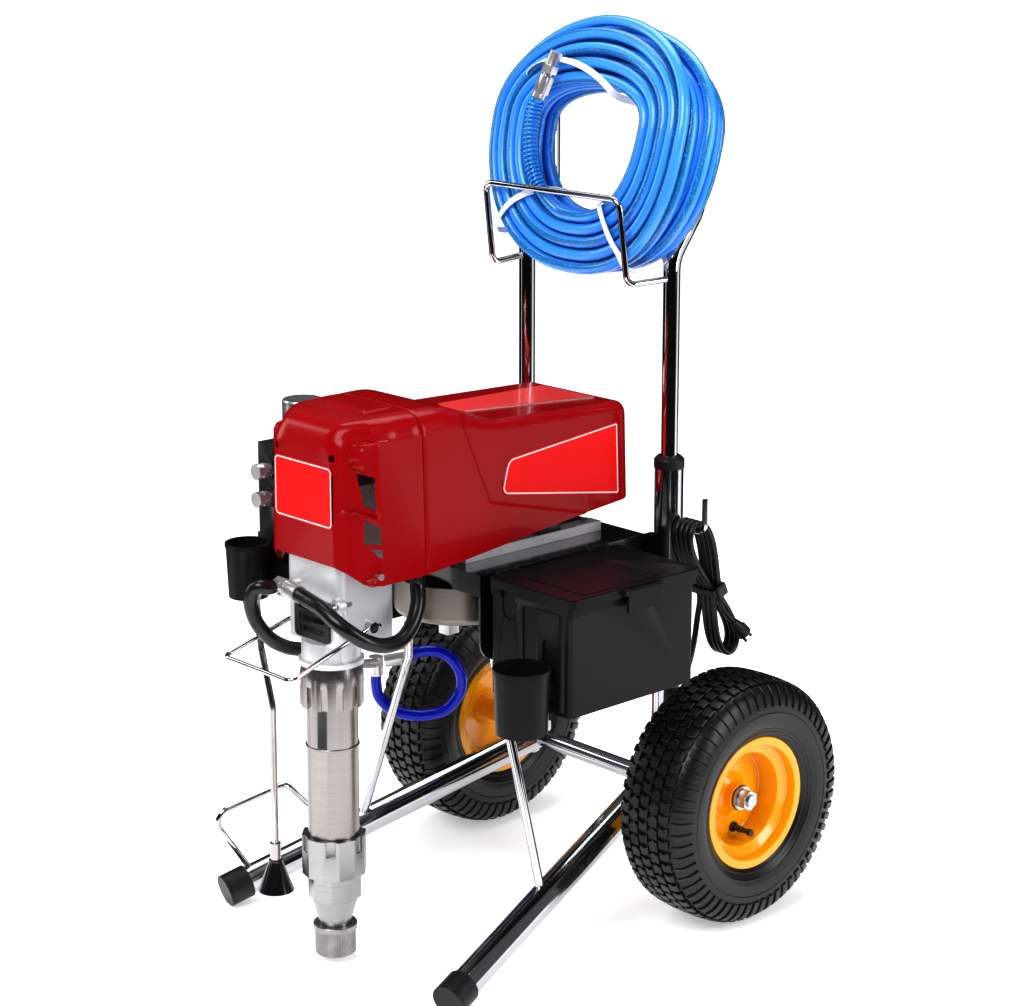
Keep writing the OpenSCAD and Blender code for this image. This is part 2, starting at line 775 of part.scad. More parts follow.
module intake_strainer() {
    color(nickel) translate([0, pump_y, 0]) difference() {
        union() {
            translate([0, 0, 9]) cylinder(d = 51, h = 32);
            translate([0, 0, 38]) cylinder(d = 56, h = 11);
        }
        translate([0, 0, 12]) cylinder(d = 45, h = 30);
        translate([0, 0, 30]) cylinder(d = 24, h = 30);
        for (a = [0 : 30 : 330], z = [14, 25])
            rotate(a) translate([15, -3, z]) cube([20, 6, 8]);
    }
}

// ---- filter, on the left of the drive housing ----
filter_x = -122;
filter_y = axle_y - 416;
filter_d = 52;
cap_top = 700;
block_x0 = -142;
block_x1 = -102;
block_y0 = axle_y - 476;

module filter_manifold() {
    color(black) difference() {
        union() {
            translate([filter_x, filter_y, 514]) cylinder(d = filter_d - 4, h = cap_top - 34 - 514);
            translate([filter_x, filter_y, 640]) cylinder(d = filter_d, h = cap_top - 44 - 640);
            translate([block_x0, block_y0, 532])
                round_block(block_x1 - block_x0, filter_y - block_y0, 118, 6);
            translate([block_x0, block_y0, 470]) cube([block_x1 - block_x0, 42, 63]);
            translate([block_x1 - 10, pump_y - 6, 470])
                cube([-house_w / 2 - weld - block_x1 + 10, 30, 34]);
            for (z = plug_z)
                translate([-112, block_y0 - 4, z]) rotate([-90, 0, 0]) prism(22, 5);
        }
        translate([filter_x, filter_y, 524]) cylinder(d = filter_d - 16, h = 200);
        for (z = plug_z)
            translate([-112, block_y0 - 5, z]) rotate([-90, 0, 0]) cylinder(d = 8 + 2 * weld, h = 16);
        translate([block_x0 - 1, valve_y, valve_z]) rotate([0, 90, 0])
            cylinder(d = 8 + 2 * run, h = 18);
    }
}

plug_z = [584, 620];
valve_y = block_y0 + 30;
valve_z = 600;
module filter_cap() {
    color(chrome) translate([filter_x, filter_y, 0]) difference() {
        union() {
            translate([0, 0, cap_top - 30]) cylinder(d = filter_d, h = 28);
            translate([0, 0, cap_top - 2]) cylinder(d1 = filter_d, d2 = filter_d - 3, h = 2);
            translate([0, 0, cap_top - 34 + weld]) cylinder(d = filter_d - 6, h = 8);
        }
        for (a = [0 : 45 : 315])
            rotate(a) translate([filter_d / 2, 0, cap_top - 31]) cylinder(d = 4, h = 25, $fn = 12);
    }
}

module prime_valve() {
    color(black) translate([block_x0 - free, valve_y, valve_z]) rotate([0, -90, 0]) {
        translate([0, 0, -12]) cylinder(d = 8, h = 20);
        cylinder(d = 20, h = 12);
        translate([-6, -18, 5]) round_block(12, 36, 9, 4);
    }
}

pressure_y = axle_y - 330;
pressure_z = 610;
module pressure_knob() {
    color(black) translate([-cover_side - 0.5, pressure_y, pressure_z]) rotate([0, -90, 0]) {
        difference() {
            cylinder(d = 42, h = 20);
            for (a = [0 : 30 : 330])
                rotate(a) translate([22, 0, 4]) cylinder(d = 5, h = 20, $fn = 12);
        }
        translate([0, 0, -11]) cylinder(d = 8, h = 12);
    }
}

button_d = 18;
button_z = 645;
module power_switch() {
    color("crimson") translate([-52, cover_back, button_z]) rotate([-90, 0, 0]) {
        translate([0, 0, -8]) cylinder(d = button_d, h = 14);
        translate([0, 0, -8]) cylinder(d = button_d + 6, h = 4);
    }
}

// ---- drain tube, hoses and their fittings ----
drain_x = -60;
drain_d = 9;
drain_y = axle_y - 520;
module drain_tube() {
    color(steel) difference() {
        union() {
            bent_rod([[-46.2, drain_y, 487], [-91, drain_y, 480], [-82, drain_y, 404],
                [drain_x, drain_y, 330], [drain_x, drain_y, 100]], drain_d, 24);
            translate([drain_x, drain_y, 128]) cylinder(d = 14, h = 22);
        }
        translate([drain_x, drain_y, 99]) cylinder(d = drain_d - 3, h = 30);
    }
}

module drain_cone() {
    color(black) translate([drain_x, drain_y, 0]) difference() {
        union() {
            translate([0, 0, 87]) cylinder(d1 = 46, d2 = 18, h = 38);
            translate([0, 0, 125]) cylinder(d = 18, h = 2.8);
        }
        translate([0, 0, 86]) cylinder(d1 = 42, d2 = 10, h = 30);
        translate([0, 0, 86]) cylinder(d = drain_d + 2 * weld, h = 60);
    }
}

hose_black_d = 19;
outlet_y = axle_y - 519;
suction = [
    [0, outlet_y - 2, 490], [20, outlet_y - 4, 488], [50, outlet_y - 6, 483],
    [80, outlet_y - 2, 468], [95, outlet_y + 18, 450], [99, outlet_y + 45, 438],
    [97, outlet_y + 75, 437], [91, outlet_y + 100, 450], [83, outlet_y + 117, 472],
    [73, outlet_y + 125, 490], [72, outlet_y + 126, 501],
    [72, outlet_y + 126, 510]
];
return_hose = [
    [-38, outlet_y - 13.7, 494], [-38.2, outlet_y - 20, 494.2], [-43, outlet_y - 29, 496],
    [-51, outlet_y - 33, 491], [-57, outlet_y - 34, 474], [-55, outlet_y - 27, 448],
    [-50, outlet_y - 10, 424], [-49, outlet_y + 14, 408], [-51, outlet_y + 36, 400]
];
module black_hoses() {
    color(black) {
        sweep(smooth(suction, 4), hose_black_d, 12);
        sweep(smooth(return_hose, 4), hose_black_d - 1, 12);
    }
}

whip_c = [-127, axle_y - 219, 276];
whip_h = [0.6768, 0.7361, 0];
function whip(p, q) = whip_c + p * whip_h + [0, 0, q];
module whip_hose() {
    color("mediumblue") sweep(smooth([whip(-60, 12), whip(-60, 0), whip(-56, -20), whip(-38, -38),
        whip(-5, -46), whip(30, -40), whip(50, -20), whip(56, 2), whip(50, 24), whip(32, 42),
        whip(8, 46), whip(-12, 40)], 3), hose_d, 12);
}

module hose_fittings() {
    color(chrome) {
        // nut, ferrule and cross on the drive housing's front, for the two black hoses
        bar(suction[0] - [0.4, 0, 0], [-26, outlet_y + 0.6, 492.6], 22);
        translate([-44, outlet_y - 1, 494]) rotate([0, 90, 0]) prism(18, 19);
        translate([-38, outlet_y - 13, 494]) rotate([-90, 0, 0]) cylinder(d = 17, h = 12);
        translate([-34, outlet_y + 2, 493]) rotate([-90, 0, 0])
            cylinder(d = 14, h = house_front - weld - outlet_y - 2);
        // elbow at the suction hose's hidden end
        translate([72, outlet_y + 126, 510.3]) cylinder(d = 18, h = 18);
        translate([46, outlet_y + 126, 520]) rotate([0, 90, 0]) cylinder(d = 12, h = 26);
        translate([46, house_back + weld, 520]) rotate([-90, 0, 0])
            cylinder(d = 12, h = outlet_y + 126 - house_back - weld);
        // elbow and ferrule of the short blue hose, and the pipe that feeds it
        bar(whip(-60, 12.3), whip(-60, 38), 20);
        bar(whip(-13.6, 39.7), whip(-48, 34), 22);
        bar(whip(-60, 28), [-26.4, pump_y + 33, 376], 12);
        // union under the deck's left flange
        translate([-deck_w / 2 - 10, axle_y - 193, 344]) round_block(20, 22, 20, 3);
        translate([-deck_w / 2 + 1.5, axle_y - 182, 360])
            cylinder(d = 10, h = deck_z - flange_h - weld - 360);
        // two plugs in the filter block's front
        for (z = plug_z)
            translate([-112, block_y0 - 4 - weld, z]) rotate([90, 0, 0]) {
                translate([0, 0, -12]) cylinder(d = 8, h = 13);
                cylinder(d = 17, h = 20);
                translate([0, 0, 4]) prism(17, 6);
                translate([0, 0, 14]) cylinder(d = 20, h = 6);
            }
    }
}

// ---- pail hook ----
hook_z = 410;
hook_w = 134;
module pail_hook() {
    color(steel) both_sides() difference() {
        bent_rod([[-1, axle_y - hook_reach, hook_z], [hook_w / 2, axle_y - hook_reach, hook_z],
            [house_w / 2 + 6, pump_y + 12, 448], [house_w / 2 + 6, pump_y + 30, 448]], hook_d, 10);
        translate([-50, -400, 0]) cube([50, 800, 800]);
    }
    color(steel) both_sides() translate([house_w / 2 + weld, pump_y + 18, 448]) rotate([0, 90, 0])
        cylinder(d = 14, h = 9.6);
}

// ---- tool box on the deck's right flange ----
box_x0 = 119;
box_x1 = box_x0 + box_w - 8;
box_y0 = axle_y - 319;
box_y1 = box_y0 + box_l;
lid_t = 12;
box_top = deck_z + 1;
box_bottom = box_top - box_h;
body_top = box_top - lid_t - free;
hinge_d = 3;
hinge_x = box_x0 - 3;
hinge_z = box_top + 1;
latch_l = 67;
latch_y = box_y0 + 84;
latch_x = box_x0 + box_w + 4;
latch_z = box_top - 5;
catch_x = box_x1 + 8;
knuckles = [24, box_l - 44];

module along_y(x, y, z) {
    translate([x, y, z]) rotate([-90, 0, 0]) children();
}

module toolbox_body() {
    color(black) difference() {
        union() {
            translate([box_x0 + 1, box_y0 + 4, box_bottom])
                round_block(box_x1 - box_x0 - 1, box_l - 8, body_top - box_bottom, 6);
            translate([box_x0 + 1, box_y0 + 1, body_top - 10])
                round_block(box_x1 - box_x0 + 2, box_l - 2, 10, 6);
            // mounting block against the deck's right flange
            translate([deck_w / 2 + weld, box_y0 + 60, box_bottom + 60])
                cube([box_x0 + 6 - deck_w / 2 - weld, 110, 50]);
            // corner column of the front wall
            translate([box_x1 - 60, box_y0, box_bottom + 6])
                round_block(52, 20, body_top - box_bottom - 16, 8);
            for (y = knuckles)
                along_y(hinge_x, box_y0 + y, hinge_z) cylinder(d = 7, h = 20);
            for (y = knuckles)
                translate([box_x0 - 5, box_y0 + y, body_top - 14]) cube([7, 20, 12]);
            for (y = knuckles)
                translate([box_x0 - 5, box_y0 + y, body_top - 3])
                    cube([4.4, 20, hinge_z - body_top + 3]);
            // catch for the latch
            translate([box_x1 - 1, latch_y + 12, latch_z - 20])
                cube([catch_x + 1 - box_x1, latch_l - 24, 4]);
        }
        translate([box_x0 + 1 + box_wall, box_y0 + 4 + box_wall, box_bottom + box_wall])
            cube([box_x1 - box_x0 - 1 - 2 * box_wall, box_l - 8 - 2 * box_wall, box_h]);
        // U-shaped recess and a groove in the front wall
        along_y(box_x0 + 36, box_y0, body_top - 24) cylinder(d = 27, h = 5.5);
        translate([box_x0 + 22.5, box_y0, body_top - 24]) cube([27, 5.5, 30]);
        translate([box_x0 + 60, box_y0, box_bottom + 20])
            cube([5, 5.5, body_top - box_bottom - 34]);
        translate([box_x1 - 44, box_y0 - 1, box_bottom + 14])
            round_slab(20, 4, body_top - box_bottom - 60, 5);
        for (y = knuckles)
            along_y(hinge_x, box_y0 + y - 1, hinge_z) cylinder(d = hinge_d + 2 * run, h = 22);
    }
}

module toolbox_lid() {
    color(black) difference() {
        union() {
            translate([box_x0, box_y0, body_top + free]) round_block(box_w, box_l, lid_t - 1, 8);
            translate([box_x0 + 2, box_y0 + 2, body_top + free])
                round_block(box_w - 4, box_l - 4, lid_t, 7);
            along_y(hinge_x, box_y0 + 14, hinge_z) cylinder(d = hinge_d, h = box_l - 28);
            for (y = [14, 45, box_l - 54, box_l - 22])
                translate([0, box_y0 + y, 0]) {
                    along_y(hinge_x, 0, hinge_z) cylinder(d = 7, h = 8);
                    translate([hinge_x, 0, hinge_z - 3.5]) cube([8, 8, 3.4]);
                }
            for (y = [0, latch_l - 5])
                translate([box_x0 + box_w - 2, latch_y + y, latch_z - 4])
                    cube([9, 5, 8]);
        }
        translate([box_x0 + box_wall + 4, box_y0 + box_wall + 4, body_top - 1])
            cube([box_w - 2 * box_wall - 12, box_l - 2 * box_wall - 8, lid_t - 3]);
        difference() {
            translate([box_x0 + 42, box_y0 + 28, box_top - 1]) cube([100, 130, 2]);
            translate([box_x0 + 45, box_y0 + 31, box_top - 2]) cube([94, 124, 4]);
        }
        for (y = knuckles)
            along_y(hinge_x, box_y0 + y - free, hinge_z) cylinder(d = 8.2, h = 20 + 2 * free);
        for (y = [0, latch_l - 5])
            along_y(latch_x, latch_y + y - 1, latch_z) cylinder(d = hinge_d + 2 * run, h = 7);
    }
}

module lid_latch() {
    color(black) {
        along_y(latch_x, latch_y + 0.5, latch_z) cylinder(d = hinge_d, h = latch_l - 1);
        along_y(latch_x, latch_y + 5.5, latch_z) cylinder(d = 6, h = latch_l - 11);
        translate([latch_x - 1, latch_y + 5.5, latch_z - 26]) cube([4, latch_l - 11, 26]);
        translate([catch_x + 0.4, latch_y + 14, latch_z - 26])
            cube([latch_x + 3 - catch_x - 0.4, latch_l - 28, 5.4]);
    }
}

cup_x = 222;
cup_y = box_y0 - cup_d / 2 - 2;
cup_z = 414;
left_cup_d = 58;
module cup(d, h) {
    difference() {
        union() {
            cylinder(d1 = d - 8, d2 = d - 2, h = h);
            translate([0, 0, h - 5]) cylinder(d = d, h = 5);
        }
        translate([0, 0, 3]) cylinder(d1 = d - 13, d2 = d - 6, h = h);
    }
}

module drip_cups() {
    color(black) translate([cup_x, cup_y, cup_z - cup_h]) {
        cup(cup_d, cup_h);
        translate([-12, cup_d / 2 - 3, cup_h - 32])
            cube([24, box_y0 - cup_y - cup_d / 2 + 3 - weld, 28]);
    }
    color(black) translate([-122, axle_y - 507, 459]) {
        cup(left_cup_d, 70);
        translate([-12, left_cup_d / 2 - 5, 14])
            cube([21, block_y0 - axle_y + 507 - left_cup_d / 2 + 5 - weld, 46]);
    }
}

// ---- cord ----
hook_x = up_x + 65;
hook_y = up_y;
hook_rod_z = 515;
module cord_hook() {
    color(chrome) {
        bent_rod([[up_x + tube_d / 2 + weld, hook_y, hook_rod_z], [hook_x, hook_y, hook_rod_z],
            [hook_x, hook_y, hook_rod_z + 44]], 8, 12);
    }
}

cord_d = 8;
cord_turns = 3.5;
cord_pitch = 8.5;
hank_x = 161;
hank_top = [axle_y - 17.6, hook_rod_z + 7.8];
hank_bottom = [axle_y + 62, 335];
hank_lobe = 32;
hank_waist = 4.7;
hank_dir = (hank_bottom - hank_top) / norm(hank_bottom - hank_top);
hank_side = [-hank_dir.y, hank_dir.x];
hank_len = norm(hank_bottom - hank_top);

// Point of the hank after k degrees; 270 is the waist on the way up, at its front.
function hank_point(k) =
    let (a = hank_len / 2 * (1 - cos(k)),
        s = sin(k) * (hank_lobe * pow(abs(cos(k)), 1.2) + hank_waist),
        p = hank_top + a * hank_dir + s * hank_side)
    [hank_x + cord_pitch * (k - 270) / 360, p.x, p.y];

gland_x = 60;
gland_y = axle_y - 90;
run_points = [
    [gland_x, gland_y, 462], [gland_x, gland_y, 440], [62, axle_y - 90, 416],
    [80, axle_y - 84, 370], [116, axle_y - 72, 325], [148, axle_y - 54, 304],
    [162, axle_y - 28, 302], [162, axle_y - 4, 314], [158, axle_y + 14, 345],
    [156, axle_y + 23, 380], [158, axle_y + 25.5, 408]
];
tail_points = [
    [193.5, axle_y + 29, 406], [197, axle_y + 39, 391], [199, axle_y + 47, 382]
];

// A smooth line through the points p, n steps from one to the next.
function smooth(p, n) = [for (i = [0 : len(p) - 2], k = [0 : n - 1])
    let (t = k / n,
        a = p[max(0, i - 1)],
        b = p[i],
        c = p[i + 1],
        d = p[min(len(p) - 1, i + 2)])
    0.5 * (2 * b + (c - a) * t + (2 * a - 5 * b + 4 * c - d) * t * t
        + (3 * b - a - 3 * c + d) * t * t * t), p[len(p) - 1]];

function tangent(p, i) = unit(p[min(len(p) - 1, i + 1)] - p[max(0, i - 1)]);
function flat(v, t) = unit(v - t * (v * t));

// A tube of the given diameter along the points p.
module sweep(p, d, sides) {
    n = len(p);
    sides_of = [for (i = 0, v = flat([0.2, 0.5, 1], tangent(p, 0)); i < n;
        i = i + 1, v = i < n ? flat(v, tangent(p, i)) : v) v];
    rings = [for (i = [0 : n - 1], k = [0 : sides - 1])
        let (a = k * 360 / sides, u = sides_of[i], w = cross(tangent(p, i), u))
        p[i] + d / 2 * (cos(a) * u + sin(a) * w)];
    walls = [for (i = [0 : n - 2], k = [0 : sides - 1], h = [0, 1])
        let (a = i * sides + k, b = i * sides + (k + 1) % sides)
        h == 0 ? [a, a + sides, b] : [b, a + sides, b + sides]];
    ends = [for (k = [1 : sides - 2], h = [0, 1])
        h == 0 ? [0, k, k + 1]
            : [(n - 1) * sides, (n - 1) * sides + k + 1, (n - 1) * sides + k]];
    polyhedron(rings, concat(walls, ends), convexity = 20);
}

hank_line = [for (k = [270 + 2 : 15 : 270 + 360 * cord_turns]) hank_point(k)];
hank_path = concat(hank_line, smooth(concat([hank_point(270 + 360 * cord_turns)], tail_points), 3));
run_path = smooth(concat(run_points, [hank_point(270)]), 3);

module cord_hank() { color(black) sweep(hank_path, cord_d, 6); }
module cord_run() { color(black) sweep(run_path, cord_d, 8); }

module cord_gland() {
    color(black) translate([gland_x, gland_y, 0]) difference() {
        union() {
            translate([0, 0, deck_z - deck_t - weld - 10]) cylinder(d = 26, h = 10);
            translate([0, 0, 463]) cylinder(d1 = 12, d2 = 20, h = deck_z - deck_t - 10 - 463);
        }
        translate([0, 0, 455]) cylinder(d = 7, h = 20);
    }
}

module cord_tie() {
    p = [hank_x, hank_top.x, hank_top.y] + [0, hank_dir.x, hank_dir.y] * (hank_len / 2 - 5);
    w = cord_pitch * cord_turns + cord_d + 2;
    t = 2 * hank_waist + cord_d + 4.4;
    color("dimgray") along(p, p + [0, hank_dir.x, hank_dir.y]) difference() {
        union() {
            translate([-t / 2 - 1.5, -cord_d / 2 - 2, 0]) round_block(t + 3, w + 3, 10, 2);
            translate([-8, w - cord_d / 2 + 0.5, -2]) cube([16, 5, 14]);
        }
        translate([-t / 2, -cord_d / 2 - 0.5, -3]) round_block(t, w, 16, 3);
    }
}

plug_from = tail_points[len(tail_points) - 1];
plug_dir = unit(tail_points[len(tail_points) - 1] - tail_points[len(tail_points) - 2]);
module power_plug() {
    color(black) along(plug_from, plug_from + plug_dir) translate([0, 0, weld]) {
        cylinder(d1 = 11, d2 = 17, h = 14);
        translate([0, 0, 14]) cylinder(d = 20, h = 12);
    }
    color(steel) along(plug_from, plug_from + plug_dir)
        for (y = [-5, 5])
            translate([0, y, 25]) cylinder(d = 4, h = 12);
}

// ---- handle and hose rack ----
handle_y1 = up_y + handle_setback;
handle_r = 45;
handle_line = [
    [up_x, up_y, 300], [up_x, up_y, handle_bend_z],
    [up_x, handle_y1, handle_bend_z + 1.33 * handle_setback],
    [up_x, handle_y1, handle_top]
];
module handle_tube() {
    m = [-1, 1, 1];
    p = concat(handle_line, [for (i = [3 : -1 : 0])
        [-handle_line[i].x, handle_line[i].y, handle_line[i].z]]);
    color(chrome) difference() {
        bent_rod(p, handle_d, handle_r);
        both_sides() translate([up_x, up_y, 299])
            cylinder(d = handle_d - 4, h = handle_bend_z - handle_r - 299);
    }
}

rack_x0 = up_x;
rack_y0 = up_y - handle_d / 2 - weld;
rack_z0 = 840;
rack_front = axle_y - 86;
module hose_rack() {
    half = [[rack_x0, rack_y0, rack_z0], [up_x - 10, rack_front, rack_z0 - 2],
        [up_x - 11, rack_front - 14, rack_top]];
    p = concat(half, [for (i = [2 : -1 : 0]) [-half[i].x, half[i].y, half[i].z]]);
    color(chrome) {
        bent_rod(p, rack_d, 14);
    }
}

// ---- hose coil ----
layers = 4;
coil_turns = hose_turns - 0.5;
coil_pitch = hose_d + 0.75;
coil_step = hose_d + 0.5;
coil_a = 177.6 - hose_d / 2;
coil_up = 139.4 - hose_d / 2;
coil_down = 194 - hose_d / 2;
coil_bend = 750;
coil_yaw = 2;
coil_at = [16.4, axle_y - 35.5, 831.6];
coil_angle = 275;

// From flat coil coordinates (across, up, back) to the leaning, bent-back coil.
function lean(u, s, w) =
    let (a = s / coil_bend * 180 / PI,
        y = coil_bend - (coil_bend - w) * cos(a),
        z = (coil_bend - w) * sin(a))
    coil_at + [u * cos(coil_yaw) - y * sin(coil_yaw), u * sin(coil_yaw) + y * cos(coil_yaw), z];

function spow(x, n) = sign(x) * pow(abs(x), n);
function ring_at(a, inset) =
    let (n = sin(a) >= 0 ? 1 : 2 / 2.33)
    [(coil_a - inset) * spow(cos(a), n),
        194 + ((sin(a) >= 0 ? coil_up : coil_down) - inset) * spow(sin(a), n)];
function ease(x) = let (t = max(0, min(1, x))) t * t * (3 - 2 * t);

// Point of the coil after t turns, from the inside of its back layer to its front layer.
function coil_point(t) =
    let (q = t / coil_turns,
        i = min(layers - 1, floor(q)),
        f = q - i,
        inset = coil_pitch * coil_turns * (i % 2 == 0 ? 1 - f : f),
        back = -coil_step * (ease((t - coil_turns) * 2 + 0.5) + ease((t - 2 * coil_turns) * 2 + 0.5)
            + ease((t - 3 * coil_turns) * 2 + 0.5)),
        p = ring_at(coil_angle - 360 * (t - layers * coil_turns), inset))
    [p.x, p.y, back];

coil_total = layers * coil_turns;
front_w = -coil_step * (layers - 1);
hose_in = [[90, 78, 17.5], [76, 84, 17.5], [60, 86, 17.5], [43, 83, 14], [26, 79.5, 6]];
hose_out = [
    [-22, 82, front_w - 3], [-48, 101, front_w - 9], [-66, 130, front_w - 14],
    [-74, 160, front_w - 17], [-76, 184, front_w - 18.6],
    [-74.2, 202.8, front_w - 20.6], [-70, 214, front_w - 22]
];
hose_flat = concat(smooth(concat(hose_in, [coil_point(0)]), 3),
    [for (k = [1 : coil_total * 24 - 1]) coil_point(k / 24)],
    smooth(concat([coil_point(coil_total)], hose_out), 4));
hose_path = [for (p = hose_flat) lean(p.x, p.y, p.z)];
tail_start = len(hose_path) - 1 - 4 * len(hose_out);

module hose_coil() { color(blue) sweep(hose_path, hose_d, 6); }

// The tail's part that the spring guard covers.
guard_path = [for (i = [tail_start + 9 : len(hose_path) - 1]) hose_path[i]];
guard_len = [for (i = 0, s = 0; i < len(guard_path); s = i + 1 < len(guard_path)
    ? s + norm(guard_path[i + 1] - guard_path[i]) : s, i = i + 1) s];
spring_curls = 14;
spring_d = 2.4;
spring_r = hose_d / 2 + spring_d / 2 + 0.6;
function path_at(s) =
    let (i = max([for (k = [0 : len(guard_len) - 2]) guard_len[k] <= s ? k : 0]),
        f = (s - guard_len[i]) / (guard_len[i + 1] - guard_len[i]))
    guard_path[i] * (1 - f) + guard_path[i + 1] * f;
module hose_spring_guard() {
    total = guard_len[len(guard_len) - 1] - 2;
    line = [for (k = [0 : spring_curls * 8])
        let (s = 1 + total * k / (spring_curls * 8) * 0.985,
            p = path_at(s),
            t = unit(path_at(s + 0.5) - path_at(max(0, s - 0.5))),
            u = flat([1, 0, 0], t),
            w = cross(t, u),
            a = k * 45)
        p + spring_r * (cos(a) * u + sin(a) * w)];
    color("royalblue") sweep(line, spring_d, 6);
}

end_from = hose_path[len(hose_path) - 1];
end_to = lean(-49, 270, front_w - 29);
end_dir = unit(end_to - end_from);
start_dir = unit(hose_path[0] - hose_path[1]);
module hose_end_fitting() {
    l = norm(end_to - end_from);
    color(chrome) along(end_from, end_to) {
        translate([0, 0, 3 * weld]) cylinder(d = 19, h = l * 0.5 - 3 * weld);
        translate([0, 0, l * 0.12]) prism(18.6, l * 0.36);
        translate([0, 0, l * 0.5]) cylinder(d = 13, h = l * 0.1);
        translate([0, 0, l * 0.56]) prism(19, l * 0.16);
        translate([0, 0, l * 0.72]) cylinder(d = 17, h = l * 0.28);
    }
    color(chrome) along(hose_path[0], hose_path[0] + start_dir) translate([0, 0, weld]) {
        cylinder(d = 18, h = 12);
        prism(15, 16);
    }
}

// Three flat ties round the coil's section.
tie_w = 6;
tie_t = 1.2;
module coil_tie(angle) {
    inner = coil_pitch * coil_turns + hose_d / 2 + 1.6;
    outer = -hose_d / 2 - 1.2;
    f = front_w - hose_d / 2 - 1;
    b = hose_d / 2 + 1;
    p = [[outer, b], [inner, b], [inner, f], [outer, f]];
    m = [for (i = [0 : 3], k = [0, 1])
        let (c = p[i], q = p[(i + 3) % 4], r = p[(i + 1) % 4])
        k == 0 ? c + 5 * (q - c) / norm(q - c) : c + 5 * (r - c) / norm(r - c)];
    mid = [(outer + inner) / 2, (f + b) / 2];
    pts = [for (v = m, h = [0, 1], e = [-1, 1])
        let (g = v + h * tie_t * 1.2 * unit2(v - mid) * 1,
            da = e * tie_w / 2 / 120 * 180 / PI,
            r = ring_at(angle + da, g.x))
        lean(r.x, r.y, g.y)];
    n = len(m);
    faces = [for (i = [0 : n - 1], q = [0 : 7])
        let (a = 4 * i, c = 4 * ((i + 1) % n))
        [[a, c, a + 1], [a + 1, c, c + 1], [a + 2, a + 3, c + 2], [a + 3, c + 3, c + 2],
            [a, a + 2, c], [c, a + 2, c + 2], [a + 1, c + 1, a + 3], [c + 1, c + 3, a + 3]][q]];
    polyhedron(pts, faces, convexity = 4);
}

module hose_ties() {
    color("white") {
        coil_tie(112);
        coil_tie(222);
        coil_tie(302);
    }
}

// Least gap of a wound tube to itself, over points at least `skip` steps apart.
function self_gap(p, d, skip) = min([for (i = [0 : len(p) - 1 - skip])
    min([for (k = [i + skip : len(p) - 1]) norm(p[i] - p[k])])]) - d;
function run_length(p) = let (s = [for (i = [1 : len(p) - 1]) norm(p[i] - p[i - 1])])
    s * [for (x = s) 1];

// ---- wheels ----
rim_r = rim_flange_d / 2;
tyre_r = tyre_od / 2;
tread_h = 8;
side_h = rim_w / 2;

function tyre_half() =
    let (c = tyre_r - tread_h, w = tyre_w / 2)
    [[rim_r - 8.3, side_h - 14], [rim_r - 8.3, side_h - 4], [rim_r + 0.6, side_h - 4],
        [rim_r + 3, side_h + 1], [rim_r + 18, w - 4], [rim_r + 37, w - 0.5], [c - 18, w - 3],
        [c - 8, w - 8], [c - 2, w - 15], [c, w - 24]];

module tyre_carcass() {
    h = tyre_half();
    n = [for (i = [len(h) - 1 : -1 : 0]) [h[i].x, -h[i].y]];
    c = tyre_r - tread_h - 9;
    w = tyre_w / 2 - 9;
    inside = [[rim_r + 4, -side_h + 14], [rim_r + 18, -w + 3], [c - 30, -w], [c - 8, -w + 8],
        [c, -w + 20], [c, w - 20], [c - 8, w - 8], [c - 30, w], [rim_r + 18, w - 3],
        [rim_r + 4, side_h - 14]];
    rotate_extrude($fn = 60) polygon(concat(h, n, inside));
}

// One row of tread blocks between the heights z0 and z1.
module tread_row(z0, z1, r, shift, fill) {
    p = [for (i = [0 : tread_blocks - 1], k = [0 : 3])
        let (a = (i + shift + [0, 0.04, fill - 0.04, fill][k]) * 360 / tread_blocks,
            d = [tyre_r - tread_h - 4, r, r, tyre_r - tread_h - 4][k])
        [d * cos(a), d * sin(a)]];
    translate([0, 0, z0]) linear_extrude(z1 - z0) difference() {
        polygon(p);
        circle(r = tyre_r - tread_h - 5, $fn = 60);
    }
}

module tyre_solid() {
    w = tyre_w / 2;
    tyre_carcass();
    tread_row(-9, 9, tyre_r, 0, 0.66);
    for (s = [1, -1]) {
        tread_row(s > 0 ? 12 : -29, s > 0 ? 29 : -12, tyre_r - 0.5, 0.5, 0.7);
        tread_row(s > 0 ? 32 : -w + 8, s > 0 ? w - 8 : -32, tyre_r - 3.5, 0, 0.62);
    }
}

// Puts a part of the right wheel in its place; its outside looks to +X.
module at_wheel() {
    translate([track / 2, axle_y, axle_z]) rotate([90, 0, 0]) rotate([0, 90, 0]) children();
}

module tyre() { color(black) at_wheel() tyre_solid(); }

hub_d = 36;
bush_d = 28;
module rim() {
    r = rim_r;
    s = side_h;
    color("gold") at_wheel() rotate_extrude($fn = 60) polygon([
        [r, -s], [r, -s + 3], [r - 8.5, -s + 3.5], [r - 8.5, -s + 15], [r - 24, -s + 19],
        [r - 24, s - 19], [r - 8.5, s - 15], [r - 8.5, s - 3.5], [r, s - 3], [r, s],
        [r - 11.5, s], [r - 11.5, s - 14], [r - 26, s - 18], [r - 27, -4],
        [hub_d / 2 + 12, -2], [hub_d / 2, 6], [hub_d / 2, 18], [bush_d / 2 + weld, 18],
        [bush_d / 2 + weld, -49], [hub_d / 2, -49], [hub_d / 2, 0],
        [hub_d / 2 + 11, -6], [r - 27, -8], [r - 27, -s + 18], [r - 11.5, -s + 14],
        [r - 11.5, -s]
    ]);
}

module hub_bushes() {
    color("dimgray") at_wheel() for (m = [0, 1])
        translate([0, 0, m == 0 ? 20 : -51]) mirror([0, 0, 1 - m]) difference() {
            union() {
                cylinder(d = hub_d - 2, h = 2 - weld);
                cylinder(d = bush_d, h = 22);
            }
            translate([0, 0, -1]) cylinder(d = axle_d + 2 * run, h = 30);
        }
}

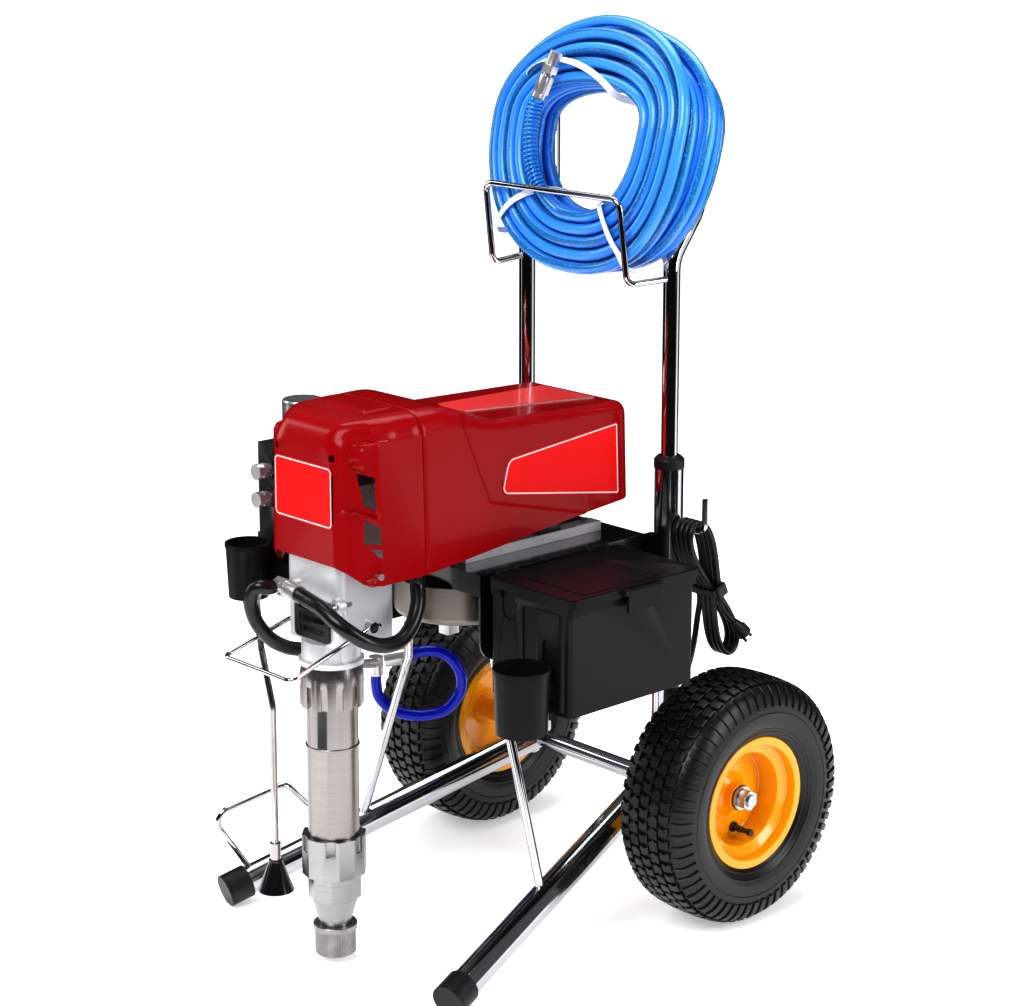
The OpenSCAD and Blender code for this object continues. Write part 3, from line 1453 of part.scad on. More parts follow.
module valve() {
    color(black) at_wheel() rotate(-78) translate([rim_r - 38, 0, -2.9 + weld]) {
        cylinder(d = 14, h = 3);
        cylinder(d = 9, h = 16);
        translate([0, 0, 15]) cylinder(d = 6.5, h = 14);
        translate([0, 0, 27]) cylinder(d = 9, h = 6);
    }
}

module left_tyre() { mirror([1, 0, 0]) tyre(); }
module left_rim() { mirror([1, 0, 0]) rim(); }
module left_hub_bushes() { mirror([1, 0, 0]) hub_bushes(); }
module left_valve() { mirror([1, 0, 0]) valve(); }
module right_tyre() { tyre(); }
module right_rim() { rim(); }
module right_hub_bushes() { hub_bushes(); }
module right_valve() { valve(); }

echo(hose_gap = self_gap(hose_path, hose_d, 12), hose_length = run_length(hose_path));
echo(cord_gap = self_gap(hank_path, cord_d, 8), cord_length = run_length(hank_path) + run_length(run_path));

uprights();
legs();
axle_tubes();
axle_bolts();
leg_caps();
sleeve_collars();
leg_braces();
foot_loop();
deck_plate();
mount_rails();
belly_pan();
motor_housing();
drive_housing();
front_cover();
motor_shroud();
label_plates();
screws();
finger_guard();
jam_nut();
pump_cylinder();
foot_valve();
intake_strainer();
filter_manifold();
filter_cap();
drain_tube();
drain_cone();
pail_hook();
black_hoses();
whip_hose();
hose_fittings();
toolbox_body();
drip_cups();
cord_hook();
cord_gland();
cord_run();
cord_hank();
cord_tie();
power_plug();
handle_tube();
hose_rack();
hose_coil();
hose_end_fitting();
hose_spring_guard();
hose_ties();
left_tyre();
left_rim();
left_hub_bushes();
left_valve();
right_tyre();
right_rim();
right_hub_bushes();
right_valve();
toolbox_lid();
lid_latch();
motor_rotor();
drive_gear();
displacement_rod();
pressure_knob();
prime_valve();
power_switch();
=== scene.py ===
import json
import math

import bmesh
import bpy
import numpy as np
from mathutils import Matrix, Vector


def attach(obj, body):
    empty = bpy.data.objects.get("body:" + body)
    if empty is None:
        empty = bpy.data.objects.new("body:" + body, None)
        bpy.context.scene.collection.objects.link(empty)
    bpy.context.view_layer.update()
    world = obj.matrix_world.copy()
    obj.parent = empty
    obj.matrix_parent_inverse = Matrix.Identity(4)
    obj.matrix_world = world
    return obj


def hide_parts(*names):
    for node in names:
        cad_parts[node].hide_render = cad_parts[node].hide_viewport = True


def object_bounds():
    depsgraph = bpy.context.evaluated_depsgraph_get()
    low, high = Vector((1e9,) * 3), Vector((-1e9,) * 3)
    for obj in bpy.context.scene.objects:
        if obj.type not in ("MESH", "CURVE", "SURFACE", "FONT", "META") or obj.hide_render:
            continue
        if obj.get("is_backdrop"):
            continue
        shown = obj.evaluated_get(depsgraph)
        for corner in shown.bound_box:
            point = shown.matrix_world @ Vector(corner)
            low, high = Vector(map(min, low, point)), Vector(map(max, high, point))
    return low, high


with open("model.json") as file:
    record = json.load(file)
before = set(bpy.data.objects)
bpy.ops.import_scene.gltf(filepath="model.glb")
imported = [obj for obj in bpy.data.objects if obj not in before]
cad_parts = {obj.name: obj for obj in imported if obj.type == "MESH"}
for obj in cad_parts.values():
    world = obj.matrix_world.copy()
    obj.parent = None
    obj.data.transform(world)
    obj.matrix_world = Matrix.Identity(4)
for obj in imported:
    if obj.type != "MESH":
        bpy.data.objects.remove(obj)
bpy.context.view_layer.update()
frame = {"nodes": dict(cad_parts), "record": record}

MM = 0.001
AXLE_Y = 213.0
AXLE_Z = 165.0
body_of_node = {n: b for b, names in frame["record"]["behaviour"]["bodies"].items() for n in names}
slot_of_node = {s["node"]: s["material_slot"] for s in frame["record"]["subparts"]}


# ---- camera, floor and lights ----
# A pale floor that runs out of sight, soft boxes above and beside the machine, and a
# long-lens camera at standing height in front of its right side.
VIEW_AZIMUTH = math.radians(47.403)
VIEW_PITCH = math.radians(12.215)
CAMERA_AT = (2.3258, -2.1075, 1.3684)
FLOOR_REACH = 30
BOARD_FAR, BOARD_NEAR, BOARD_LOW, BOARD_HIGH = 4.6, 1.35, 0.02, 3.0
BOARDS = ((5, 30), (106, 39), (185, 39), (283.5, 51.5))


def add_object(name, data):
    thing = bpy.data.objects.new(name, data)
    bpy.context.scene.collection.objects.link(thing)
    return thing


def new_material(name):
    material = bpy.data.materials.new(name)
    material.use_nodes = True
    return material, material.node_tree, material.node_tree.nodes["Principled BSDF"]


def set_inputs(node, values):
    for label, value in values.items():
        node.inputs[label].default_value = value


def wire(tree, source, target):
    tree.links.new(source, target)


def place_in(tree, kind="Object"):
    return tree.nodes.new("ShaderNodeTexCoord").outputs[kind]


def make_camera():
    data = bpy.data.cameras.new("camera")
    data.sensor_width = 36.0
    data.lens = 88.15
    data.shift_x = 0.0064
    data.shift_y = -0.1018
    camera = add_object("camera", data)
    back = Vector((math.sin(VIEW_AZIMUTH) * math.cos(VIEW_PITCH),
                   -math.cos(VIEW_AZIMUTH) * math.cos(VIEW_PITCH), math.sin(VIEW_PITCH)))
    right = Vector((math.cos(VIEW_AZIMUTH), math.sin(VIEW_AZIMUTH), 0))
    turn = Matrix((right, back.cross(right), back)).transposed()
    camera.matrix_world = Matrix.Translation(CAMERA_AT) @ turn.to_4x4()
    bpy.context.scene.camera = camera


def make_floor():
    mesh = bpy.data.meshes.new("floor")
    r = FLOOR_REACH
    mesh.from_pydata([(-r, -r, 0), (r, -r, 0), (r, r, 0), (-r, r, 0)], [], [(0, 1, 2, 3)])
    floor = add_object("floor", mesh)
    paper, tree, shader = new_material("paper_floor")
    set_inputs(shader, {"Base Color": (0.93, 0.93, 0.93, 1), "Roughness": 0.7,
                        "Specular IOR Level": 0.1, "Emission Color": (1, 1, 1, 1)})
    away = tree.nodes.new("ShaderNodeVectorMath")
    away.operation = "LENGTH"
    lift = tree.nodes.new("ShaderNodeMapRange")
    set_inputs(lift, {"From Min": 1.0, "From Max": 5.0, "To Min": 0.42, "To Max": 0.62})
    wire(tree, place_in(tree), away.inputs[0])
    wire(tree, away.outputs["Value"], lift.inputs["Value"])
    wire(tree, lift.outputs["Result"], shader.inputs["Emission Strength"])
    mesh.materials.append(paper)
    floor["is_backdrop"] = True


def soft_box(name, place, target, size, power, tint=(1, 1, 1)):
    light = bpy.data.lights.new(name, "AREA")
    light.shape = "RECTANGLE"
    light.size, light.size_y = size
    light.energy = power
    light.color = tint
    lamp = add_object(name, light)
    lamp.location = place
    lamp.rotation_euler = (Vector(target) - Vector(place)).to_track_quat("-Z", "Y").to_euler()


def dark_board(name, corners):
    """A black board that only polished surfaces see: its reflection gives them their dark bands."""
    mesh = bpy.data.meshes.new(name)
    mesh.from_pydata([tuple(c) for c in corners], [], [(0, 1, 2, 3)])
    board = add_object(name, mesh)
    black, _, shader = new_material(name)
    set_inputs(shader, {"Base Color": (0.01, 0.01, 0.01, 1), "Specular IOR Level": 0.0})
    mesh.materials.append(black)
    board.visible_camera = False
    board.visible_shadow = False
    board.visible_diffuse = False
    board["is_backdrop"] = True


def make_world():
    world = bpy.data.worlds.new("studio")
    bpy.context.scene.world = world
    world.use_nodes = True
    tree = world.node_tree
    sky = tree.nodes["Background"]
    dim = tree.nodes.new("ShaderNodeMapRange")
    set_inputs(sky, {"Color": (0.97, 0.98, 1.0, 1)})
    set_inputs(dim, {"To Min": 0.58, "To Max": 0.16})
    wire(tree, tree.nodes.new("ShaderNodeLightPath").outputs["Is Glossy Ray"], dim.inputs["Value"])
    wire(tree, dim.outputs["Result"], sky.inputs["Strength"])
    bpy.context.scene.view_settings.view_transform = "Standard"
    bpy.context.scene.view_settings.gamma = 0.8


make_camera()
make_floor()
make_world()
soft_box("key_box", (0.6, -2.6, 2.9), (0, 0, 0.5), (2.2, 1.6), 95)
soft_box("top_box", (-0.6, 0.6, 3.2), (0, 0, 0.6), (2.6, 1.8), 60)
soft_box("side_box", (3.0, 1.2, 1.5), (0, 0.1, 0.5), (0.9, 2.4), 55, (0.97, 0.95, 1.0))
soft_box("left_box", (-3.0, -1.4, 1.6), (0, 0, 0.6), (0.9, 2.4), 30)
for i, (middle, reach) in enumerate(BOARDS):
    around, spread = math.radians(middle), math.tan(math.radians(reach))
    out = Vector((math.cos(around), math.sin(around), 0))
    along = spread * Vector((-math.sin(around), math.cos(around), 0))
    low, high = (BOARD_FAR * out + Vector((0, 0, z)) for z in (BOARD_LOW, BOARD_HIGH))
    near = BOARD_NEAR * out + Vector((0, 0, BOARD_LOW))
    wide, short = BOARD_FAR * along, BOARD_NEAR * along
    dark_board(f"flag_{i + 1}", [low - wide, low + wide, high + wide, high - wide])
    dark_board(f"mat_{i + 1}", [near - short, near + short, low + wide, low - wide])


# ---- frame: uprights, legs and cross tube ----
# Round steel tube, bent, welded and bright plated. Two long legs run forwards and out
# to the front feet; the uprights stand at the axle and hold the sliding handle.
def shader_group(name, inputs, outputs):
    group = bpy.data.node_groups.new(name, "ShaderNodeTree")
    for label, kind, value in inputs:
        socket = group.interface.new_socket(name=label, in_out="INPUT", socket_type=kind)
        socket.default_value = value
    for label, kind in outputs:
        group.interface.new_socket(name=label, in_out="OUTPUT", socket_type=kind)
    return group, group.nodes.new("NodeGroupInput"), group.nodes.new("NodeGroupOutput")


def calc(tree, operation, a, b):
    node = tree.nodes.new("ShaderNodeMath")
    node.operation = operation
    for socket, value in zip(node.inputs, (a, b)):
        if hasattr(value, "links"):
            wire(tree, value, socket)
        else:
            socket.default_value = value
    return node.outputs[0]


def blend_colour(tree, factor, a, b):
    node = tree.nodes.new("ShaderNodeMix")
    node.data_type = "RGBA"
    wire(tree, factor, node.inputs["Factor"])
    for socket, value in ((node.inputs[6], a), (node.inputs[7], b)):
        if hasattr(value, "links"):
            wire(tree, value, socket)
        else:
            socket.default_value = (*value, 1)
    return node.outputs[2]


def noise(tree, vector, scale, detail=4.0, roughness=0.55):
    node = tree.nodes.new("ShaderNodeTexNoise")
    set_inputs(node, {"Detail": detail, "Roughness": roughness})
    wire(tree, vector, node.inputs["Vector"])
    if hasattr(scale, "links"):
        wire(tree, scale, node.inputs["Scale"])
    else:
        node.inputs["Scale"].default_value = scale
    return node.outputs["Fac"]


def make_mottle():
    """Slow and fine noise in object space: a colour between two, a roughness round a middle, a height."""
    colour, number = "NodeSocketColor", "NodeSocketFloat"
    tree, given, made = shader_group("mottle", [
        ("Colour", colour, (1, 1, 1, 1)), ("Shade", colour, (0.5, 0.5, 0.5, 1)),
        ("Patches", number, 12.0), ("Grain", number, 900.0), ("Roughness", number, 0.4),
        ("Spread", number, 0.15)], [("Colour", colour), ("Roughness", number), ("Height", number)])
    place = place_in(tree)
    slow = noise(tree, place, given.outputs["Patches"])
    fine = noise(tree, place, given.outputs["Grain"], 2.0)
    lift = calc(tree, "MULTIPLY", calc(tree, "SUBTRACT", slow, 0.3), 1.6)
    lift.node.use_clamp = True
    wire(tree, blend_colour(tree, lift, given.outputs["Shade"], given.outputs["Colour"]),
         made.inputs["Colour"])
    both = calc(tree, "ADD", calc(tree, "MULTIPLY", slow, 0.6), calc(tree, "MULTIPLY", fine, 0.4))
    swing = calc(tree, "MULTIPLY", calc(tree, "SUBTRACT", both, 0.5), given.outputs["Spread"])
    wire(tree, calc(tree, "ADD", given.outputs["Roughness"], swing), made.inputs["Roughness"])
    wire(tree, fine, made.inputs["Height"])
    return tree


def make_streaks():
    """Noise drawn out along one direction, as brushing, turning and drawing leave on metal."""
    number = "NodeSocketFloat"
    tree, given, made = shader_group("streaks", [
        ("Stretch", "NodeSocketVector", (1, 1, 1)), ("Fineness", number, 400.0)],
        [("Streaks", number)])
    scaled = tree.nodes.new("ShaderNodeVectorMath")
    scaled.operation = "MULTIPLY"
    wire(tree, place_in(tree), scaled.inputs[0])
    wire(tree, given.outputs["Stretch"], scaled.inputs[1])
    wire(tree, noise(tree, scaled.outputs[0], given.outputs["Fineness"], 3.0), made.inputs["Streaks"])
    return tree


MOTTLE = make_mottle()
STREAKS = make_streaks()


def finish(name, colour, shade, roughness=0.4, spread=0.15, metallic=0.0, patches=12.0,
           grain=900.0, depth=0.0, coat=0.0, specular=0.5, brushed=None, fineness=400.0):
    """A finish: mottled colour and roughness, optional brushing, a fine bump of the given depth in mm."""
    material, tree, shader = new_material(name)
    set_inputs(shader, {"Metallic": metallic, "Coat Weight": coat, "Coat Roughness": 0.06,
                        "Specular IOR Level": specular})
    mottle = tree.nodes.new("ShaderNodeGroup")
    mottle.node_tree = MOTTLE
    set_inputs(mottle, {"Colour": (*colour, 1), "Shade": (*shade, 1), "Patches": patches,
                        "Grain": grain, "Roughness": roughness, "Spread": spread})
    tint, rough, height = (mottle.outputs[k] for k in ("Colour", "Roughness", "Height"))
    if brushed:
        streaks = tree.nodes.new("ShaderNodeGroup")
        streaks.node_tree = STREAKS
        set_inputs(streaks, {"Stretch": brushed, "Fineness": fineness})
        line = streaks.outputs["Streaks"]
        rough = calc(tree, "ADD", rough, calc(tree, "MULTIPLY", calc(tree, "SUBTRACT", line, 0.5), 0.12))
        tint = blend_colour(tree, line, tuple(0.72 * c for c in shade), tint)
        height = line
    wire(tree, tint, shader.inputs["Base Color"])
    wire(tree, rough, shader.inputs["Roughness"])
    if depth:
        bump = tree.nodes.new("ShaderNodeBump")
        set_inputs(bump, {"Distance": depth * MM, "Strength": 1.0})
        wire(tree, height, bump.inputs["Height"])
        wire(tree, bump.outputs["Normal"], shader.inputs["Normal"])
    return material


def stand_in(piece, body, slot, *nodes):
    """Puts a piece on its body, in place of the nodes it stands for. The slot is not used."""
    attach(piece, body)
    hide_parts(*nodes)
    return piece


def smooth(mesh, angle, material):
    """Shades a mesh smooth but for edges sharper than angle degrees, and gives it its material."""
    mesh.shade_smooth()
    mesh.set_sharp_from_angle(angle=math.radians(angle))
    mesh.materials.clear()
    mesh.materials.append(material)


def dress(node, material, edge=0.4, angle=32.0):
    """A copy of a part's mesh with its triangles joined, its sharp edges given a small round of
    edge mm and the rest shaded smooth. It stands for the part."""
    mesh = frame["nodes"][node].data.copy()
    work = bmesh.new()
    work.from_mesh(mesh)
    bmesh.ops.remove_doubles(work, verts=work.verts, dist=0.002 * MM)
    bmesh.ops.dissolve_limit(work, angle_limit=math.radians(0.8), verts=work.verts, edges=work.edges)
    work.to_mesh(mesh)
    work.free()
    smooth(mesh, angle, material)
    piece = add_object(node + "_finished", mesh)
    if edge:
        rounding = piece.modifiers.new("edge", "BEVEL")
        rounding.width = edge * MM
        rounding.segments = 2
        rounding.limit_method = "ANGLE"
        rounding.angle_limit = math.radians(angle)
        rounding.use_clamp_overlap = True
        rounding.harden_normals = False
    return stand_in(piece, body_of_node[node], slot_of_node[node], node)


# Colour and shade that the black mouldings, the manifold's coat and the lead's rubber share
PITCH_BLACK = (0.010, 0.010, 0.011), (0.006, 0.006, 0.007)
plated_tube = finish("plated_tube", (0.62, 0.62, 0.63), (0.5, 0.5, 0.52), 0.12, 0.1, 1.0, 9.0)
dress("uprights", plated_tube)
dress("legs", plated_tube)
dress("axle_tubes", plated_tube)


# ---- axle bolts ----
# Turned steel bolts through the tube bosses, with a plated washer and a nut under the
# wheel's hub, all zinc plated with a bluish tone.
zinc = finish("zinc_plated", (0.62, 0.66, 0.72), (0.45, 0.47, 0.5), 0.3, 0.2, 1.0, 60.0, depth=0.02)
dress("axle_bolts", zinc, 0.6)


# ---- leg caps and sleeve collars ----
# Moulded black caps pushed on the front feet, and the black collars at the top of the
# uprights that guide the handle.
cap_rubber = finish("cap_rubber", (0.012, 0.012, 0.013), (0.007, 0.007, 0.008), 0.42, 0.2, 0.0, 30.0,
                    1500.0, 0.05, specular=0.4)
dress("leg_caps", cap_rubber, 1.2)
dress("sleeve_collars", cap_rubber, 0.8)


# ---- leg braces and foot step ----
# Chrome plated round rod: the braces tie the deck to the legs, and a bent step guards
# the drain tube beside the left foot.
chrome_rod = finish("chrome_rod", (0.66, 0.66, 0.67), (0.56, 0.56, 0.58), 0.08, 0.08, 1.0, 14.0)
dress("leg_braces", chrome_rod, 0.3)
dress("foot_loop", chrome_rod, 0.0)


# ---- deck, rails and pan ----
# A folded sheet deck in gloss black powder coat with bright flanges, two alloy rails
# under the motor, and a spun nickel plated pan below.
deck_paint = finish("deck_paint", (0.006, 0.006, 0.007), (0.004, 0.004, 0.005), 0.16, 0.1, 0.0, 20.0,
                    700.0, 0.015, coat=0.5)
dress("deck_plate", deck_paint, 0.6)
cast_alloy = finish("cast_alloy", (0.82, 0.82, 0.83), (0.66, 0.66, 0.68), 0.38, 0.25, 0.45, 18.0,
                    600.0, 0.12)
dress("mount_rails", cast_alloy, 0.6)
spun_nickel = finish("spun_nickel", (0.39, 0.345, 0.315), (0.27, 0.24, 0.22), 0.36, 0.2, 1.0, 10.0,
                     brushed=(1, 1, 16), fineness=30.0, depth=0.003)
dress("belly_pan", spun_nickel, 0.6)


# ---- drive: motor, gear case and gears ----
# A black enamelled motor, a pale die cast gear case, and inside them the rotor, the
# crank gear and the rod that the pump works by.
motor_enamel = finish("motor_enamel", (0.012, 0.012, 0.013), (0.008, 0.008, 0.009), 0.35, 0.2, 0.0,
                      25.0, 700.0, 0.05, coat=0.2)
dress("motor_housing", motor_enamel, 0.6)
dress("drive_housing", cast_alloy, 1.2)
core_steel = finish("core_steel", (0.45, 0.38, 0.33), (0.3, 0.26, 0.24), 0.4, 0.2, 1.0, 60.0,
                    brushed=(1, 40, 1), fineness=40.0)
dress("motor_rotor", core_steel, 0.3)
gear_steel = finish("gear_steel", (0.5, 0.5, 0.51), (0.38, 0.38, 0.39), 0.3, 0.2, 1.0, 40.0)
dress("drive_gear", gear_steel, 0.3)
hard_chrome = finish("hard_chrome", (0.74, 0.74, 0.76), (0.66, 0.66, 0.69), 0.14, 0.1, 1.0, 20.0)
dress("displacement_rod", hard_chrome, 0.3)


# ---- covers, plates and screws ----
# Two gloss red mouldings that meet at a seam behind the gear case, bright red bare plates
# with a pale outline and a painted highlight on their upward faces, and plated screws sunk in their
# bosses.
cover_red = finish("cover_red", (0.31, 0.0, 0.003), (0.26, 0.0, 0.002), 0.24, 0.12, 0.0, 6.0,
                   1100.0, 0.02, coat=0.14, specular=0.14)
COVER_HALF, SEAM_Y, COVER_WALL = 98.0, -187.0, 2.6
NOSE_Y, NOSE_HALF = [-299, -257], [74, COVER_HALF]
RIDGE_Y, RIDGE_Z = [-299, -227, SEAM_Y, -139, -69, 175], [706, 712, 712, 711, 684, 677]
HEM_Y, HEM_Z = [-299, -271, SEAM_Y, 50, 175], [534, 512, 512, 538, 549]
WIDEST_Z, SIDE_LEAN = 480, 9 / 232
LIP_Z = [512, 520, 546, 568, 594, 619, 647, 659, 671, 690]
LIP_Y = [-272, -262, -252, -253, -256, -261, -267, -277, -279, -279]
LIP_TOP, LIP_ROUND = 686.0, 12.0


def ease(x):
    """0 below 0, 1 above 1, and 3x^2 - 2x^3 between."""
    x = np.clip(x, 0, 1)
    return x * x * (3 - 2 * x)


def raised(across, y, z):
    """How far the covers' skin stands off its plain form, in mm: a broad collar ahead of a
    slanted line and below a crease, a pad on top, and a side panel that keeps its full width up
    to a curled lip, outside which the skin falls back to a cheek with one wedge-shaped rib."""
    a = np.abs(across)
    line = np.where(z < 689, -122 + (690 - z) * 0.402, -122 + (98 - a) * 0.38)
    ahead = ease((line - y) / 2.2 + 0.5)
    below = ease((581 - (y + 68) * 0.256 - z) / 2.6 + 0.5)
    step = 1.8 * np.maximum(ahead, below) * ease((y + 292) / 30)
    pad = ease((40 - a) / 2.5) * ease((y + 236) / 3) * ease((-191 - y) / 2.5) * (z > 690)
    front = np.interp(z, LIP_Z, LIP_Y) + LIP_ROUND - y
    above = z - LIP_TOP + LIP_ROUND
    corner = np.where((front > 0) & (above > 0), np.hypot(front, above), np.maximum(front, above))
    away = ease((corner - LIP_ROUND) / 3) * ease((SEAM_Y - 3 - y) / 12)
    sunk = (1.0 + 7.5 * ease((-225 - y) / 45)) * ease((711 - z) / 14)
    sunk = sunk * ease((y + 298) / 22)
    panel = np.interp(y, [-299, -279, -240], [90, 92, COVER_HALF])
    widen = np.maximum(0, panel - np.interp(y, NOSE_Y, NOSE_HALF))
    widen = widen * (1 - away) * (y < SEAM_Y)
    rib = ease(0.5 + (0.6 + 0.085 * (y + 298) - np.abs(z - 612.5 + 0.557 * (y + 298))) / 1.6)
    rib = rib * away * (z < 640) * ease((y + 297) / 8)
    return step + 2.4 * pad - sunk * away + widen + 5.5 * rib


def cover_section(y, side, arc, top):
    """The covers' cross section at each y as a line from the right bottom edge over the top to
    the left: a leaning side, a round shoulder of radius r, and a flat top."""
    y = np.asarray(y, float)[:, None]
    half = np.interp(y, NOSE_Y, NOSE_HALF)
    dense = np.arange(-330.0, 211.0, 2.0)
    ridge = np.interp(dense, RIDGE_Y, RIDGE_Z)
    ridge = np.convolve(np.pad(ridge, 9, mode="edge"), np.ones(19) / 19, "valid")
    high = np.interp(y, dense, ridge)
    low = np.interp(y, HEM_Y, HEM_Z)
    r = np.interp(y, [SEAM_Y, -69], [30, 13])
    rise = np.linspace(0, 1, side)[None]
    z1 = low + (high - r - low) * rise
    x1 = half - (z1 - WIDEST_Z) * SIDE_LEAN
    cx = half - (high - r - WIDEST_Z) * SIDE_LEAN - r
    turn = np.linspace(0, np.pi / 2, arc)[None]
    x2, z2 = cx + r * np.cos(turn), high - r + r * np.sin(turn)
    x3 = cx * np.linspace(1, 0, top)[None]
    z3 = high + 0 * x3
    x = np.hstack([x1, x2[:, 1:], x3[:, 1:]])
    z = np.hstack([z1, z2[:, 1:], z3[:, 1:]])
    nx = np.hstack([1 + 0 * x1, np.cos(turn[:, 1:]) + 0 * x2[:, 1:], 0 * x3[:, 1:]])
    nz = np.hstack([0 * x1, np.sin(turn[:, 1:]) + 0 * x2[:, 1:], 1 + 0 * x3[:, 1:]])
    off = raised(x, y + 0 * x, z)
    x, z = x + nx * off, z + nz * off
    return np.hstack([x, -x[:, -2::-1]]), np.hstack([z, z[:, -2::-1]]), low


def open_skin(work, outline, axis, near, far):
    """Opens a convex outline in a thin skin. The outline's points are (y, z) for axis 0 or (x, z)
    for axis 1, and the skin lies between near and far on that axis. The skin is split along the
    planes through the outline's sides and ends, and the faces on the inner side of all go."""
    outline = np.asarray(outline, float)
    rest = [k for k in range(3) if k != axis]
    middle = outline.mean(0)
    planes = []
    for point, side in zip(outline, np.roll(outline, -1, 0) - outline):
        at, normal = np.zeros(3), np.zeros(3)
        at[rest] = point
        normal[rest] = side[1], -side[0]
        if (middle - point) @ normal[rest] > 0:
            normal = -normal
        planes.append((Vector(at * MM), Vector(normal).normalized()))
    for limit, way in ((near, -1), (far, 1)):
        at, normal = np.zeros(3), np.zeros(3)
        at[axis], normal[axis] = limit, way
        planes.append((Vector(at * MM), Vector(normal)))
    low, high = (outline.min(0) - 3) * MM, (outline.max(0) + 3) * MM
    faces = []
    for face in work.faces:
        c = face.calc_center_median()
        if (near - 3) * MM < c[axis] < (far + 3) * MM and low[0] < c[rest[0]] < high[0] \
                and low[1] < c[rest[1]] < high[1]:
            faces.append(face)
    for at, normal in planes:
        parts = set(faces)
        for face in faces:
            parts.update(face.edges)
            parts.update(face.verts)
        split = bmesh.ops.bisect_plane(work, geom=list(parts), dist=1e-7, plane_co=at, plane_no=normal)
        faces = [g for g in split["geom"] if isinstance(g, bmesh.types.BMFace)]
    inside = [f for f in faces if all((f.calc_center_median() - at).dot(n) < 0 for at, n in planes)]
    bmesh.ops.delete(work, geom=inside, context="FACES")


def mesh_of(name, points, faces):
    """A mesh from points in mm and faces of point numbers."""
    mesh = bpy.data.meshes.new(name)
    mesh.from_pydata((np.reshape(points, (-1, 3)) * MM).tolist(), [], faces)
    return mesh


def cover_skin(name, y_open, y_closed, round_y, round_x, round_z, openings, pace, side, arc, top):
    """One cover: sections from the open seam to the rounded end, drawn in by a quarter ellipse
    round_x wide and round_z high over the last round_y, then closed by shrinking the last
    section onto the middle of its lower edge. The openings are cut and it gets its wall."""
    way = 1 if y_closed > y_open else -1
    body = np.arange(0, abs(y_closed - y_open) - round_y, pace)
    phi = np.linspace(0, np.pi / 2, 14)
    depth = np.concatenate([body, abs(y_closed - y_open) - round_y + round_y * np.sin(phi)])
    drawn = np.concatenate([0 * body, 1 - np.cos(phi)])[:, None]
    y = y_open + way * depth
    x, z, low = cover_section(y, side, arc, top)
    seam = np.exp(-depth / 0.9)[:, None] * 0.9
    half = np.abs(x).max(1, keepdims=True)
    x = x * (1 - (round_x * drawn + seam) / half)
    z = low + (z - low) * (1 - (round_z * drawn + seam) / (z.max(1, keepdims=True) - low))
    rings = np.stack([x, y[:, None] + 0 * x, z], -1)
    hub = np.array([0, y_closed, low[-1, 0]])
    shrink = np.linspace(1, 0.015, 18)[1:, None, None]
    rings = np.vstack([rings, hub + (rings[-1:] - hub) * shrink])
    n, m = rings.shape[:2]
    i, k = np.meshgrid(np.arange(n - 1), np.arange(m - 1), indexing="ij")
    quads = np.stack([i * m + k, (i + 1) * m + k, (i + 1) * m + k + 1, i * m + k + 1], -1)
    if way > 0:
        quads = quads[..., ::-1]
    mesh = mesh_of(name, rings, quads.reshape(-1, 4).tolist())
    work = bmesh.new()
    work.from_mesh(mesh)
    for opening in openings:
        open_skin(work, *opening)
    work.to_mesh(mesh)
    work.free()
    shell = add_object(name, mesh)
    wall = shell.modifiers.new("wall", "SOLIDIFY")
    wall.thickness = COVER_WALL * MM
    wall.offset = 1.0
    bpy.context.view_layer.update()
    whole = bpy.data.meshes.new_from_object(shell.evaluated_get(bpy.context.evaluated_depsgraph_get()))
    shell.modifiers.clear()
    shell.data = whole
    smooth(whole, 40, cover_red)
    return shell


def round_hole(a, b, radius):
    turn = np.arange(20) * 2 * np.pi / 20
    return np.column_stack([a + radius * np.cos(turn), b + radius * np.sin(turn)])


SCREW_X, SCREW_Z, REAR_Y = 53, 668, (150, 190)
vents = []
for slot, inner_skin in (([(-275, 650), (-262, 645.5), (-250, 599), (-269, 609), (-274, 636)], 91.0),
                         ([(-270, 592), (-249, 580), (-246, 559.5), (-271, 562)], 93.2),
                         ([(-266, 557), (-248, 555), (-249, 543), (-257, 546)], 94.0)):
    vents += [(slot, 0, 66, inner_skin), (slot, 0, -inner_skin, -66)]
vents += [(round_hole(side * SCREW_X, SCREW_Z, 4.7), 1, -310, -280) for side in (-1, 1)]
nose = cover_skin("front_cover_finished", SEAM_Y - 0.3, -299.0, 24, 16, 36, vents, 1.25, 120, 30, 36)
stand_in(nose, "cart", "cover_red", "front_cover")
grille = [([(x - 4, 590), (x + 4, 590), (x + 4, 630), (x - 4, 630)], 1, *REAR_Y)
          for x in range(-60, 61, 20)]
grille.append((round_hole(-52, 645, 9.6), 1, *REAR_Y))
tail_cover = cover_skin("motor_cover_finished", SEAM_Y + 0.3, 175.0, 24, 24, 22, grille, 2.5, 90, 12, 24)
stand_in(tail_cover, "cart", "cover_red", "motor_shroud")
plate_red = finish("plate_red", (0.74, 0.006, 0.006), (0.66, 0.004, 0.005), 0.34, 0.1, 0.0, 15.0,
                   1200.0, 0.01, coat=0.06, specular=0.1)
plates = dress("label_plates", plate_red, 0.0)
white_line = finish("white_line", (0.85, 0.85, 0.85), (0.75, 0.75, 0.75), 0.4, 0.1, 0.0, 30.0)
plates.data.materials.append(white_line)
# The plates' upward faces get a lighter, pinker red than the rest: a painted highlight.
painted_highlight_red = finish("top_plate_painted_highlight", (0.86, 0.07, 0.07), (0.76, 0.05, 0.05), 0.3, 0.1, 0.0, 15.0, 1200.0,
                 0.01, coat=0.3)
plates.data.materials.append(painted_highlight_red)
work = bmesh.new()
work.from_mesh(plates.data)
for face in work.faces:
    # Faces that point up take the painted highlight red.
    if face.normal.z > 0.9:
        face.material_index = 2
